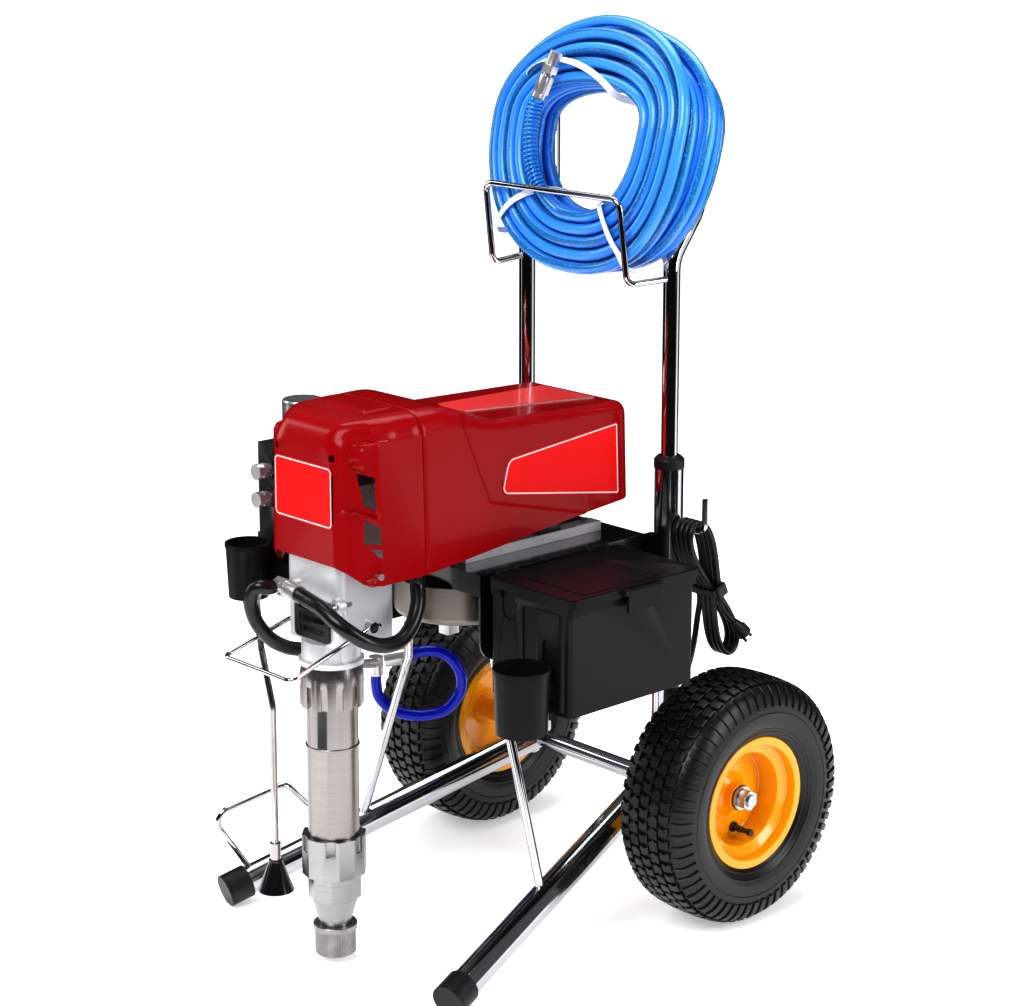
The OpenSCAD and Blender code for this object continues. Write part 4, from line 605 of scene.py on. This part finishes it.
for axis, sign in ((1, -1), (0, 1)):
    front = [f for f in work.faces if f.normal[axis] * sign > 0.9 and f.calc_area() > 2e-5]
    bmesh.ops.inset_region(work, faces=front, thickness=1.6 * MM, use_even_offset=True)
    lined = bmesh.ops.inset_region(work, faces=front, thickness=1.5 * MM, use_even_offset=True)
    for face in lined["faces"]:
        face.material_index = 1
work.to_mesh(plates.data)
work.free()
screw_steel = finish("screw_steel", (0.6, 0.6, 0.62), (0.45, 0.45, 0.47), 0.3, 0.2, 1.0, 80.0)
dress("screws", screw_steel, 0.3)


# ---- pump, foot valve and strainer ----
# The pump hangs from the gear case: a black guard, a jam nut, a brushed chromed
# cylinder, the turned foot valve and a woven wire strainer at its lower end.
guard_plastic = finish("guard_plastic", *PITCH_BLACK, 0.45, 0.2, 0.0, 30.0, 900.0, 0.05)
dress("finger_guard", guard_plastic, 0.5)
turned_steel = finish("turned_steel", (0.374, 0.344, 0.332), (0.46, 0.425, 0.41), 0.30, 0.1, 1.0, 9.0,
                      brushed=(1, 1, 16), fineness=22.0, depth=0.002)
dress("jam_nut", turned_steel, 0.8)
dress("pump_cylinder", turned_steel, 0.5)
foot_steel = finish("foot_steel", (0.39, 0.387, 0.383), (0.485, 0.48, 0.476), 0.30, 0.15, 1.0, 14.0,
                    brushed=(1, 1, 16), fineness=22.0, depth=0.002)
dress("foot_valve", foot_steel, 0.7)
strainer_wire = finish("strainer_wire", (0.46, 0.45, 0.44), (0.30, 0.29, 0.28), 0.3, 0.2, 0.9, 60.0)
STRAINER_AT, STRAINER_TOP, STRAINER_RIM, STRAINER_FOOT = (0.0, AXLE_Y - 473), 49.0, 41.0, 9.0
SLEEVE_SIDES = 240


def ring_quads(rings, sides):
    """The quads between neighbouring rings of points, which are numbered ring by ring."""
    i, k = np.meshgrid(np.arange(rings - 1), np.arange(sides), indexing="ij")
    j = (k + 1) % sides
    quads = np.stack([i * sides + k, i * sides + j, (i + 1) * sides + j, (i + 1) * sides + k], -1)
    return quads.reshape(-1, 4)


def capped_faces(rings, sides):
    """The quads between rings of points, and the first and the last ring as faces."""
    ends = [tuple(range(sides))[::-1], tuple(range((rings - 1) * sides, rings * sides))]
    return ring_quads(rings, sides).tolist() + ends


def plain_ring(z, r):
    return z, np.full((1, SLEEVE_SIDES), r)


def woven_sleeve():
    """The strainer as rings about the pump's axis: a plain rim on top, and below it a sleeve of
    radius 25.2 + 0.8 |sin 24 turn| |sin (pi z / 2.4)|, which stands for its woven wire."""
    turn = np.arange(SLEEVE_SIDES) * 2 * np.pi / SLEEVE_SIDES
    sleeve_z = np.arange(STRAINER_FOOT + 1.2, STRAINER_RIM, 0.6)
    relief = 0.8 * np.abs(np.sin(24 * turn))[None] * np.abs(np.sin(np.pi * sleeve_z / 2.4))[:, None]
    rings = [plain_ring(STRAINER_FOOT, 22.0), plain_ring(STRAINER_FOOT + 0.4, 24.4)]
    rings += [(z, 25.2 + relief[i:i + 1]) for i, z in enumerate(sleeve_z)]
    rings += [plain_ring(STRAINER_RIM + z, r) for z, r in ((0, 25.4), (0.2, 27.5), (0.8, 28.0))]
    rings += [plain_ring(STRAINER_TOP + z, r) for z, r in ((-0.8, 28.0), (0, 27.2), (0, 20.0))]
    z = np.array([k for k, r in rings])[:, None] + 0 * turn
    r = np.vstack([row for k, row in rings])
    points = np.stack([STRAINER_AT[0] + r * np.cos(turn), STRAINER_AT[1] + r * np.sin(turn), z], -1)
    mesh = mesh_of("strainer_sleeve", points, capped_faces(len(rings), SLEEVE_SIDES))
    smooth(mesh, 38, strainer_wire)
    return add_object("strainer_sleeve", mesh)


stand_in(woven_sleeve(), body_of_node["intake_strainer"], slot_of_node["intake_strainer"],
         "intake_strainer")


# ---- filter, prime valve and controls ----
# A black coated manifold on the left with a grooved steel cap on its filter, a prime
# lever, the pressure knob and the push switch behind.
filter_black = finish("filter_black", *PITCH_BLACK, 0.35, 0.2, 0.0, 25.0, 700.0, 0.06, coat=0.2)
dress("filter_manifold", filter_black, 0.8)
cap_steel = finish("cap_steel", (0.72, 0.72, 0.73), (0.80, 0.80, 0.82), 0.30, 0.2, 1.0, 20.0,
                   brushed=(1, 1, 16), fineness=30.0, depth=0.003)
dress("filter_cap", cap_steel, 0.6)
dress("pressure_knob", guard_plastic, 0.6)
dress("prime_valve", guard_plastic, 0.5)
switch_red = finish("switch_red", (0.35, 0.01, 0.012), (0.25, 0.008, 0.01), 0.35, 0.15, 0.0, 40.0,
                    1200.0, 0.02, coat=0.3)
dress("power_switch", switch_red, 0.5)


# ---- drain tube, pail hook and fittings ----
# A plated steel drain tube ends in a black cone, a chrome hook carries the pail, and
# plated nuts, ferrules and elbows join the hoses.
drain_steel = finish("drain_steel", (0.6, 0.58, 0.56), (0.45, 0.43, 0.42), 0.22, 0.15, 1.0, 16.0)
dress("drain_tube", drain_steel, 0.0)
cone_black = finish("cone_black", *PITCH_BLACK, 0.2, 0.1, 0.0, 30.0, 900.0, 0.02, coat=0.4)
dress("drain_cone", cone_black, 1.0)
dress("pail_hook", chrome_rod, 0.0)
bright_fitting = finish("bright_fitting", (0.86, 0.86, 0.86), (0.62, 0.61, 0.60), 0.32, 0.2, 0.85,
                        50.0, depth=0.02)
dress("hose_fittings", bright_fitting, 0.5)


# ---- hoses on the pump ----
# A thick black suction hose and a return hose loop round the gear case, and a short blue
# hose turns once behind the pump. Each is smooth rubber pushed on its fittings.
def unit(rows):
    return rows / np.linalg.norm(rows, axis=1, keepdims=True)


def length_along(line):
    """The length run from the line's start, at each of its points."""
    return np.concatenate([[0], np.cumsum(np.linalg.norm(np.diff(line, axis=0), axis=1))])


def cubic(a, b, c, d, t):
    """Catmull-Rom: from b at t = 0 to c at t = 1, with half the run past each as its slope."""
    return 0.5 * (2 * b + (c - a) * t + (2 * a - 5 * b + 4 * c - d) * t ** 2
                  + (3 * b - a - 3 * c + d) * t ** 3)


def square_axes(line, across):
    """At each point of a line, two directions square to it and to each other; the first is the
    given direction less its share along the line."""
    ahead = unit(np.gradient(line, axis=0))
    u = unit(np.array(across, float) - ahead * (ahead @ np.array(across, float))[:, None])
    return u, np.cross(ahead, u)


def smooth_line(points, steps):
    """A line through all points, in steps steps from each to the next."""
    p = np.asarray(points, float)
    padded = np.vstack([p[:1], p, p[-1:]])
    t = (np.arange(steps) / steps)[None, :, None]
    a, b, c, d = (padded[i:len(p) - 1 + i, None] for i in range(4))
    return np.vstack([cubic(a, b, c, d, t).reshape(-1, 3), p[-1:]])


def tube(name, line, radius, sides, across, material):
    """A round tube along a line: each ring is radius * (cos v * u + sin v * w), where u is the
    given direction made square to the line and w is square to both. UV holds length and turn."""
    line = np.asarray(line, float)
    u, w = square_axes(line, across)
    turn = np.arange(sides) * 2 * np.pi / sides
    rings = line[:, None] + radius * (np.cos(turn)[None, :, None] * u[:, None]
                                      + np.sin(turn)[None, :, None] * w[:, None])
    mesh = mesh_of(name, rings, capped_faces(len(line), sides))
    run = length_along(line) * MM
    uv = mesh.uv_layers.new(name="UVMap")
    i, k = np.meshgrid(np.arange(len(line) - 1), np.arange(sides), indexing="ij")
    corner = np.stack([np.stack([run[i], k / sides], -1), np.stack([run[i], (k + 1) / sides], -1),
                       np.stack([run[i + 1], (k + 1) / sides], -1), np.stack([run[i + 1], k / sides], -1)],
                      2).reshape(-1, 2)
    caps = np.zeros((2 * sides, 2))
    uv.data.foreach_set("uv", np.vstack([corner, caps]).astype(np.float32).ravel())
    smooth(mesh, 50, material)
    return add_object(name, mesh)


hose_rubber = finish("hose_rubber", (0.008, 0.008, 0.009), (0.005, 0.005, 0.006), 0.3, 0.15, 0.0,
                     20.0, 900.0, 0.02, coat=0.15)
OUTLET_Y = AXLE_Y - 519
suction_points = [(0, -2, 490), (20, -4, 488), (50, -6, 483), (80, -2, 468), (95, 18, 450),
                  (99, 45, 438), (97, 75, 437), (91, 100, 450), (83, 117, 472), (73, 125, 490),
                  (72, 126, 501), (72, 126, 510)]
return_points = [(-38, -13.7, 494), (-38.2, -20, 494.2), (-43, -29, 496), (-51, -33, 491),
                 (-57, -34, 474), (-55, -27, 448), (-50, -10, 424), (-49, 14, 408), (-51, 36, 400)]
from_outlet = np.array([0, OUTLET_Y, 0])
suction = tube("suction_hose", smooth_line(np.array(suction_points) + from_outlet, 8), 9.5, 24,
               (0, 0.3, 1), hose_rubber)
stand_in(suction, "cart", "hose_black", "black_hoses")
back_hose = tube("return_hose", smooth_line(np.array(return_points) + from_outlet, 8), 9.0, 24,
                 (1, 0.2, 0.1), hose_rubber)
stand_in(back_hose, "cart", "hose_black", "black_hoses")
deep_blue = finish("deep_blue_hose", (0.0, 0.012, 0.56), (0.0, 0.008, 0.44), 0.2, 0.12, 0.0,
                   14.0, 900.0, 0.015, coat=0.2, specular=0.3)
whip_centre = np.array([-127.0, AXLE_Y - 219, 276.0])
whip_along = np.array([0.6768, 0.7361, 0.0])
whip_flat = [(-60, 12), (-60, 0), (-56, -20), (-38, -38), (-5, -46), (30, -40), (50, -20), (56, 2),
             (50, 24), (32, 42), (8, 46), (-12, 40)]
whip_line = [whip_centre + a * whip_along + np.array([0, 0, b]) for a, b in whip_flat]
whip = tube("short_blue_hose", smooth_line(whip_line, 8), 7.5, 24, (0.7361, -0.6768, 0), deep_blue)
stand_in(whip, "cart", "hose_blue", "whip_hose")


# ---- tool box, lid, latch and drip cups ----
# Black moulded plastic with a fine grain: a box on the deck's right flange with a
# hinged lid and a snap latch, and two cups for tips and drips.
box_plastic = finish("box_plastic", *PITCH_BLACK, 0.36, 0.15, 0.0, 10.0, 1400.0, 0.05, specular=0.2)
dress("toolbox_body", box_plastic, 0.7)
dress("toolbox_lid", box_plastic, 0.8)
dress("lid_latch", box_plastic, 0.5)
dress("drip_cups", box_plastic, 0.7)


# ---- power cord ----
# A round black rubber mains lead: it leaves a gland under the deck, hangs in a hank on a
# chrome hook beside the right upright, is tied at the waist and ends in a plug.
dress("cord_hook", chrome_rod, 0.0)
sheath = finish("cord_sheath", *PITCH_BLACK, 0.38, 0.15, 0.0, 20.0, 1200.0, 0.03)
HANK_X, HANK_PITCH, HANK_TURNS, HANK_LOBE, HANK_WAIST = 161.0, 8.5, 3.5, 32.0, 4.7
hank_top = np.array([AXLE_Y - 17.6, 522.8])
hank_bottom = np.array([AXLE_Y + 62, 335.0])


def hank_line(turn):
    """The hank's loops: along the hank by a cosine, across it by a sine drawn in at the waist,
    and one pitch sideways for each turn. turn is in degrees; 270 is the waist on the way up."""
    reach = np.linalg.norm(hank_bottom - hank_top)
    along = (hank_bottom - hank_top) / reach
    side = np.array([-along[1], along[0]])
    k = np.radians(turn)
    a = reach / 2 * (1 - np.cos(k))
    s = np.sin(k) * (HANK_LOBE * np.abs(np.cos(k)) ** 1.2 + HANK_WAIST)
    p = hank_top + a[:, None] * along + s[:, None] * side
    return np.column_stack([HANK_X + HANK_PITCH * (turn - 270) / 360, p])


run_points = [(60, -90, 462), (60, -90, 440), (62, -90, 416), (80, -84, 370), (116, -72, 325),
              (148, -54, 304), (162, -28, 302), (162, -4, 314), (158, 14, 345), (156, 23, 380),
              (158, 25.5, 408)]
tail_points = [(193.5, 29, 406), (197, 39, 391), (199, 47, 382)]
from_axle = np.array([0, AXLE_Y, 0])
hank = hank_line(np.arange(270.0, 270 + 360 * HANK_TURNS + 0.1, 5.0))
cord_path = np.vstack([smooth_line(np.vstack([np.array(run_points) + from_axle, hank[:1]]), 6)[:-1],
                       hank[:-1],
                       smooth_line(np.vstack([hank[-1:], np.array(tail_points) + from_axle]), 6)])
lead = tube("power_cord", cord_path, 4.0, 14, (1, 0, 0), sheath)
stand_in(lead, "cart", "cord_black", "cord_run", "cord_hank")
gland = dress("cord_gland", cap_rubber, 0.5)
tie_rubber = finish("tie_rubber", (0.02, 0.02, 0.021), (0.012, 0.012, 0.013), 0.5, 0.2, 0.0, 40.0,
                    1200.0, 0.03)
lead_tie = dress("cord_tie", tie_rubber, 0.4)
plug = dress("power_plug", cap_rubber, 0.6)


# ---- handle and hose rack ----
# Bright chromed tube bent to a U that slides in the uprights, with a rod rack welded in
# front to carry the hose.
handle_chrome = finish("handle_chrome", (0.64, 0.64, 0.65), (0.54, 0.54, 0.56), 0.06, 0.06, 1.0, 9.0)
dress("handle_tube", handle_chrome, 0.0)
dress("hose_rack", handle_chrome, 0.0)


# ---- paint hose, its spring guard, fittings and ties ----
# About fifteen metres of smooth blue hose wound in four layers, with a printed cyan line,
# a coiled spring guard at its free end, a crimped ferrule with a swivel, and flat ties.
HOSE_D = 15.0
COIL_LAYERS, COIL_TURNS = 4, 4.5
COIL_PITCH, COIL_STEP = HOSE_D + 0.75, HOSE_D + 0.5
COIL_A, COIL_UP, COIL_DOWN = (v - HOSE_D / 2 for v in (177.6, 137.8, 194.0))
COIL_BEND, COIL_YAW, COIL_ANGLE = 750.0, math.radians(2), 275.0
COIL_AT = np.array([16.4, AXLE_Y - 35.5, 831.6])
FRONT_W = -COIL_STEP * (COIL_LAYERS - 1)
COIL_BULGE, COIL_SAG = 29.0, 14.0
HOSE_SIDE = (0.15, -1, 0.2)


def lean(points):
    """Bends the flat coil (across, up, back) over a wide cylinder, turns it a little and lifts it."""
    u, s, w = np.asarray(points, float).T
    a = s / COIL_BEND
    y = COIL_BEND - (COIL_BEND - w) * np.cos(a)
    z = (COIL_BEND - w) * np.sin(a)
    c, k = math.cos(COIL_YAW), math.sin(COIL_YAW)
    return COIL_AT + np.column_stack([u * c - y * k, u * k + y * c, z])


def coil_line(t):
    """The winding after t turns: a superellipse ring whose inset spirals in and out, layer by
    layer, and whose depth eases from one layer to the next where the spiral turns back. The
    rear layers bulge to the right, and the inner turns sag at the top."""
    q = t / COIL_TURNS
    layer = np.minimum(COIL_LAYERS - 1, np.floor(q))
    f = q - layer
    inset = COIL_PITCH * COIL_TURNS * np.where(layer % 2 == 0, 1 - f, f)
    a = np.radians(COIL_ANGLE - 360 * (t - COIL_LAYERS * COIL_TURNS))
    power = np.where(np.sin(a) >= 0, 1.0, 2 / 2.33)
    high = np.where(np.sin(a) >= 0, COIL_UP, COIL_DOWN)
    x = (COIL_A - inset) * np.sign(np.cos(a)) * np.abs(np.cos(a)) ** power
    y = 194 + (high - inset) * np.sign(np.sin(a)) * np.abs(np.sin(a)) ** power
    back = np.zeros_like(t)
    for change in (1, 2, 3):
        back -= COIL_STEP * ease((t - change * COIL_TURNS) * 2 + 0.5)
    x += COIL_BULGE * (1 - back / FRONT_W) * np.clip(np.cos(a), 0, 1)
    y -= COIL_SAG * inset / (COIL_PITCH * COIL_TURNS) * np.clip(np.sin(a), 0, 1) ** 2
    return np.column_stack([x, y, back])


hose_in = [(90, 78, 17.5), (76, 84, 17.5), (60, 86, 17.5), (43, 83, 14), (26, 79.5, 6)]
hose_out = [(-22, 82, FRONT_W - 3), (-48, 101, FRONT_W - 9), (-66, 130, FRONT_W - 14),
            (-74, 160, FRONT_W - 17), (-76, 184, FRONT_W - 18.6), (-74.2, 202.8, FRONT_W - 20.6),
            (-70, 214, FRONT_W - 22)]
winding = coil_line(np.linspace(0, COIL_LAYERS * COIL_TURNS, int(COIL_LAYERS * COIL_TURNS * 60) + 1))
tail = smooth_line(np.vstack([winding[-1:], hose_out]), 10)
hose_flat = np.vstack([smooth_line(np.vstack([hose_in, winding[:1]]), 8)[:-1], winding[:-1], tail])
hose_path = lean(hose_flat)


def printed_hose():
    """Blue polyurethane with paler and deeper stretches and a cyan line printed along one side."""
    material = finish("paint_hose", (0.055, 0.36, 0.94), (0.02, 0.23, 0.80), 0.3, 0.12, 0.0, 7.0,
                      900.0, 0.01, coat=0.45, specular=0.6)
    tree = material.node_tree
    shader = tree.nodes["Principled BSDF"]
    tint = shader.inputs["Base Color"].links[0].from_socket
    split = tree.nodes.new("ShaderNodeSeparateXYZ")
    wire(tree, place_in(tree, "UV"), split.inputs[0])
    twist = calc(tree, "ADD", calc(tree, "MULTIPLY", split.outputs["Y"], 2.0),
                 calc(tree, "MULTIPLY", split.outputs["X"], 0.61))
    twist = calc(tree, "FRACT", twist, 0.0)
    centre = calc(tree, "ABSOLUTE", calc(tree, "SUBTRACT", twist, 0.5), 0.0)
    band = calc(tree, "LESS_THAN", centre, 0.15)
    speck = tree.nodes.new("ShaderNodeTexNoise")
    set_inputs(speck, {"Scale": 420.0})
    wire(tree, place_in(tree), speck.inputs["Vector"])
    ink = calc(tree, "MULTIPLY", band, calc(tree, "GREATER_THAN", speck.outputs["Fac"], 0.40))
    cover = blend_colour(tree, calc(tree, "MULTIPLY", ink, 0.9), (1, 1, 1), (0.0, 0.13, 0.32))
    wire(tree, tint, cover.node.inputs[6])
    wire(tree, cover, shader.inputs["Base Color"])
    return material


paint_hose = tube("paint_hose", hose_path, HOSE_D / 2, 20, HOSE_SIDE, printed_hose())
stand_in(paint_hose, "handle", "hose_blue", "hose_coil")

SPRING_R = HOSE_D / 2 + 1.8
SPRING_WIRE = 1.6
SPRING_CURLS = 22


def spring_line():
    """A helix round the hose's tail: angle grows with length, radius stays just clear of the hose."""
    body = lean(smooth_line(np.vstack([winding[-1:], hose_out]), 40))
    run = length_along(body)
    at = np.linspace(run[-1] * 0.36, run[-1] - 2, SPRING_CURLS * 18 + 1)
    centre = np.column_stack([np.interp(at, run, body[:, i]) for i in range(3)])
    u, w = square_axes(centre, HOSE_SIDE)
    turn = np.linspace(0, SPRING_CURLS * 2 * np.pi, len(at))[:, None]
    return centre + SPRING_R * (np.cos(turn) * u + np.sin(turn) * w)


spring_blue = finish("spring_blue", (0.05, 0.40, 0.95), (0.02, 0.28, 0.80), 0.18, 0.1, 0.4, 30.0,
                     coat=0.6)
spring = tube("spring_guard", spring_line(), SPRING_WIRE, 8, (0.3, 0.2, 0.93), spring_blue)
stand_in(spring, "handle", "spring_blue", "hose_spring_guard")
ferrules = dress("hose_end_fitting", bright_fitting, 0.5)
tie_white = finish("tie_white", (0.80, 0.80, 0.80), (0.7, 0.7, 0.72), 0.35, 0.1, 0.0, 30.0, 1200.0,
                   0.01, coat=0.2)
TIE_W, TIE_T, TIE_LIFT = 9.0, 1.2, 0.3


def tie_band(name, flat_points):
    """A flat band along a closed line (across, up, back) on the winding's skin: each station
    holds a rectangle TIE_W wide along the skin and TIE_T thick, TIE_LIFT off the given line."""
    ring = np.asarray(flat_points, float)
    n = len(ring)
    t = np.arange(n * 8) / 8.0
    neighbours = (ring[(np.floor(t).astype(int) + k) % n] for k in (-1, 0, 1, 2))
    line = lean(cubic(*neighbours, (t - np.floor(t))[:, None]))
    ahead = unit(np.roll(line, -1, 0) - np.roll(line, 1, 0))
    out = line - line.mean(0)
    out = unit(out - ahead * (out * ahead).sum(1, keepdims=True))
    wide = np.cross(ahead, out)
    corners = np.array([(-1, 0), (1, 0), (1, 1), (-1, 1)])
    rings = np.stack([line + wide * TIE_W / 2 * i + out * (TIE_LIFT + TIE_T * j) for i, j in corners], 1)
    m = len(line)
    i, k = np.meshgrid(np.arange(m), np.arange(4), indexing="ij")
    quads = np.stack([i * 4 + k, i * 4 + (k + 1) % 4, (i + 1) % m * 4 + (k + 1) % 4,
                      (i + 1) % m * 4 + k], -1).reshape(-1, 4)
    mesh = mesh_of(name, rings, quads.tolist())
    work = bmesh.new()
    work.from_mesh(mesh)
    bmesh.ops.recalc_face_normals(work, faces=work.faces)
    work.to_mesh(mesh)
    work.free()
    smooth(mesh, 40, tie_white)
    return stand_in(add_object(name, mesh), "handle", "tie_white", "hose_ties")


FRONT, BACK = FRONT_W - 10, 8.5
ties = [
    tie_band("top_tie", [(-110, 250, FRONT + 1), (-88, 262, FRONT), (-60, 265, FRONT),
                         (-30, 262, FRONT), (-4, 255, FRONT), (18, 246, FRONT),
                         (36, 236, FRONT + 2), (42, 230, FRONT + 12), (42, 229, -28),
                         (40, 233, BACK - 4), (20, 250, BACK), (-30, 264, BACK),
                         (-90, 264, BACK), (-114, 250, BACK - 4), (-118, 246, -28),
                         (-117, 246, FRONT + 12)]),
    tie_band("left_tie", [(-130, 53, FRONT + 3), (-122, 68, FRONT), (-104, 86, FRONT),
                          (-80, 98, FRONT), (-63, 104, FRONT + 3), (-58, 106, FRONT + 14),
                          (-58, 106, -24), (-63, 104, BACK - 3), (-80, 98, BACK),
                          (-104, 86, BACK), (-122, 68, BACK), (-131, 53, BACK - 4),
                          (-134, 49, -24), (-134, 49, FRONT + 14)]),
    tie_band("right_tie", [(103, 28, FRONT + 3), (94, 42, FRONT), (80, 56, FRONT),
                           (68, 72, FRONT), (58, 89, FRONT), (52, 98, FRONT + 4),
                           (50, 101, FRONT + 14), (54, 101, -24), (62, 98, BACK - 3),
                           (78, 76, BACK), (100, 50, BACK), (117, 30, BACK - 3),
                           (114, 24, -24), (106, 23, FRONT + 14)])]


# ---- wheels ----
# Black turf tyres with rows of notched blocks on gloss yellow pressed rims, with nylon
# bushes in the hubs and a capped valve.
TREAD_H, TREAD_R, WHEEL_X = 4.3, 162.0, 241
BLOCK_FOOT, BLOCK_EDGE, BLOCK_ROUND = -1.2, 0.9, 0.75
tyre_section = np.array([
    (86.0, 42.0), (88.5, 44.6), (91.0, 46.6), (93.0, 48.6), (94.0, 48.9), (97.0, 50.6),
    (101.0, 53.0), (102.0, 54.2), (103.0, 54.0), (109.0, 55.8), (116.0, 56.8), (122.0, 57.0),
    (123.0, 58.0), (124.0, 57.2), (130.0, 56.4), (137.0, 55.0), (144.0, 52.6),
    (150.0, 49.4), (154.5, 44.8), (157.6, 38.0), (159.3, 28.6), (160.2, 15.0), (160.5, 0.0)])


def revolve(radius, across, steps):
    """A surface of revolution: (radius, across) turned about the right wheel's axle."""
    turn = np.arange(steps) * 2 * np.pi / steps
    r, x = np.asarray(radius)[:, None], np.asarray(across)[:, None]
    points = np.stack([WHEEL_X + x + 0 * turn, AXLE_Y + r * np.cos(turn),
                       AXLE_Z + r * np.sin(turn)], -1)
    return points.reshape(-1, 3), ring_quads(len(radius), steps)


def section_curve():
    """The tyre's outside from bead to bead as a smooth line, with its arc length from the crown."""
    half = np.column_stack([tyre_section, np.zeros(len(tyre_section))])
    both = np.vstack([half, half[-2::-1] * [1, -1, 1]])
    line = smooth_line(both, 5)[:, :2]
    run = length_along(line)
    return line, run - run[-1] / 2


def tread_blocks(rows, count, line, run, out):
    """Blocks as two-wide ladders that follow the section's line, whose lengths are in run and
    whose outward directions are in out: for each block, three rings of corners, at the foot,
    just under the edge, and on top drawn in by the edge's round."""
    points, faces, start = [], [], 0
    for centre, width, length, notch, shift, high, steps in rows:
        s = np.linspace(-0.5, 0.5, steps)
        dent = notch * (1 - np.abs(2 * s))
        edge = np.concatenate([dent - length / 2, (dent * 0.6 + length / 2)[::-1]])
        arc = centre + width * np.concatenate([s, s[::-1]])
        levels = []
        for height, inset in ((BLOCK_FOOT, 0.0), (high - BLOCK_EDGE, 0.0), (high, BLOCK_ROUND)):
            u = edge * (1 - 2 * inset / length)
            a = centre + (arc - centre) * (1 - 2 * inset / width)
            r, x = (np.interp(a, run, line[:, i]) + height * np.interp(a, run, out[:, i])
                    for i in (0, 1))
            turn = (np.arange(count)[:, None] + shift) * 2 * np.pi / count + u[None, :] / TREAD_R
            levels.append(np.stack([WHEEL_X + x + 0 * turn, AXLE_Y + r * np.cos(turn),
                                    AXLE_Z + r * np.sin(turn)], -1))
        block = np.stack(levels, 1)
        ring = 2 * steps
        points.append(block.reshape(-1, 3))
        k = np.arange(ring)
        j = (k + 1) % ring
        sides = [np.stack([m * ring + k, m * ring + j, (m + 1) * ring + j, (m + 1) * ring + k], -1)
                 for m in (0, 1)]
        q = np.arange(steps - 1)
        top = np.stack([2 * ring + q, 2 * ring + q + 1, 3 * ring - 2 - q, 3 * ring - 1 - q], -1)
        one = np.vstack(sides + [top])
        each = start + np.arange(count)[:, None, None] * 3 * ring + one[None]
        faces.append(each.reshape(-1, 4))
        start += count * 3 * ring
    return np.vstack(points), np.vstack(faces)


def make_tyre(side, node, body):
    """A tyre as one mesh, made on the right and mirrored by side: its outside, its inside at 9 mm
    under the crown and 3 mm at the beads, and rows of 60 blocks (from the crown, width, length,
    notch, shift, height, steps)."""
    line, run = section_curve()
    slope = unit(np.gradient(line, axis=0))
    out = np.column_stack([-slope[:, 1], slope[:, 0]])
    if out[len(out) // 2, 0] < 0:
        out = -out
    rows = [(0.0, 13.5, 12.5, 3.2, 0.0, TREAD_H, 5)]
    for way in (1, -1):
        rows += [(way * 16.5, 13.0, 12.0, -3.0, 0.5, TREAD_H, 5),
                 (way * 32.5, 13.0, 12.0, 3.0, 0.0, TREAD_H, 5),
                 (way * 57.0, 29.0, 10.5, 0.4, 0.5, 2.6, 8)]
    ring_points, ring_faces = revolve(line[:, 0], line[:, 1], 160)
    inner = line - out * np.interp(np.abs(run), [0, run[-1] - 12, run[-1]], [9, 6, 3])[:, None]
    inner = np.vstack([line[:1], inner, line[-1:]])
    block_points, block_faces = tread_blocks(rows, 60, line, run, out)
    bead_points, bead_faces = revolve(inner[:, 0], inner[:, 1], 160)
    points = np.vstack([ring_points, bead_points, block_points])
    faces = np.vstack([ring_faces, bead_faces + len(ring_points),
                       block_faces + len(ring_points) + len(bead_points)])
    points[:, 0] *= side
    mesh = mesh_of(node + "_tread", points, faces.tolist())
    work = bmesh.new()
    work.from_mesh(mesh)
    bmesh.ops.remove_doubles(work, verts=work.verts, dist=0.01 * MM)
    bmesh.ops.recalc_face_normals(work, faces=work.faces)
    work.to_mesh(mesh)
    work.free()
    smooth(mesh, 28, tyre_rubber)
    stand_in(add_object(node + "_tread", mesh), body, "tyre_rubber", node)


tyre_rubber = finish("tyre_rubber", (0.010, 0.010, 0.010), (0.006, 0.006, 0.006), 0.36, 0.2, 0.0,
                     30.0, 800.0, 0.04)
rim_yellow = finish("rim_yellow", (0.93, 0.43, 0.0), (0.86, 0.36, 0.0), 0.22, 0.1, 0.0, 8.0,
                    900.0, 0.01, coat=0.5)
bush_nylon = finish("bush_nylon", (0.08, 0.08, 0.08), (0.05, 0.05, 0.05), 0.4, 0.2, 0.0, 40.0)
valve_brass = finish("valve_brass", (0.06, 0.05, 0.04), (0.03, 0.03, 0.03), 0.4, 0.2, 0.3, 60.0)
for side, word in ((-1, "left"), (1, "right")):
    make_tyre(side, word + "_tyre", word + "_wheel")
    dress(word + "_rim", rim_yellow, 1.2, 28.0)
    dress(word + "_hub_bushes", bush_nylon, 0.4)
    dress(word + "_valve", valve_brass, 0.4)


low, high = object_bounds()
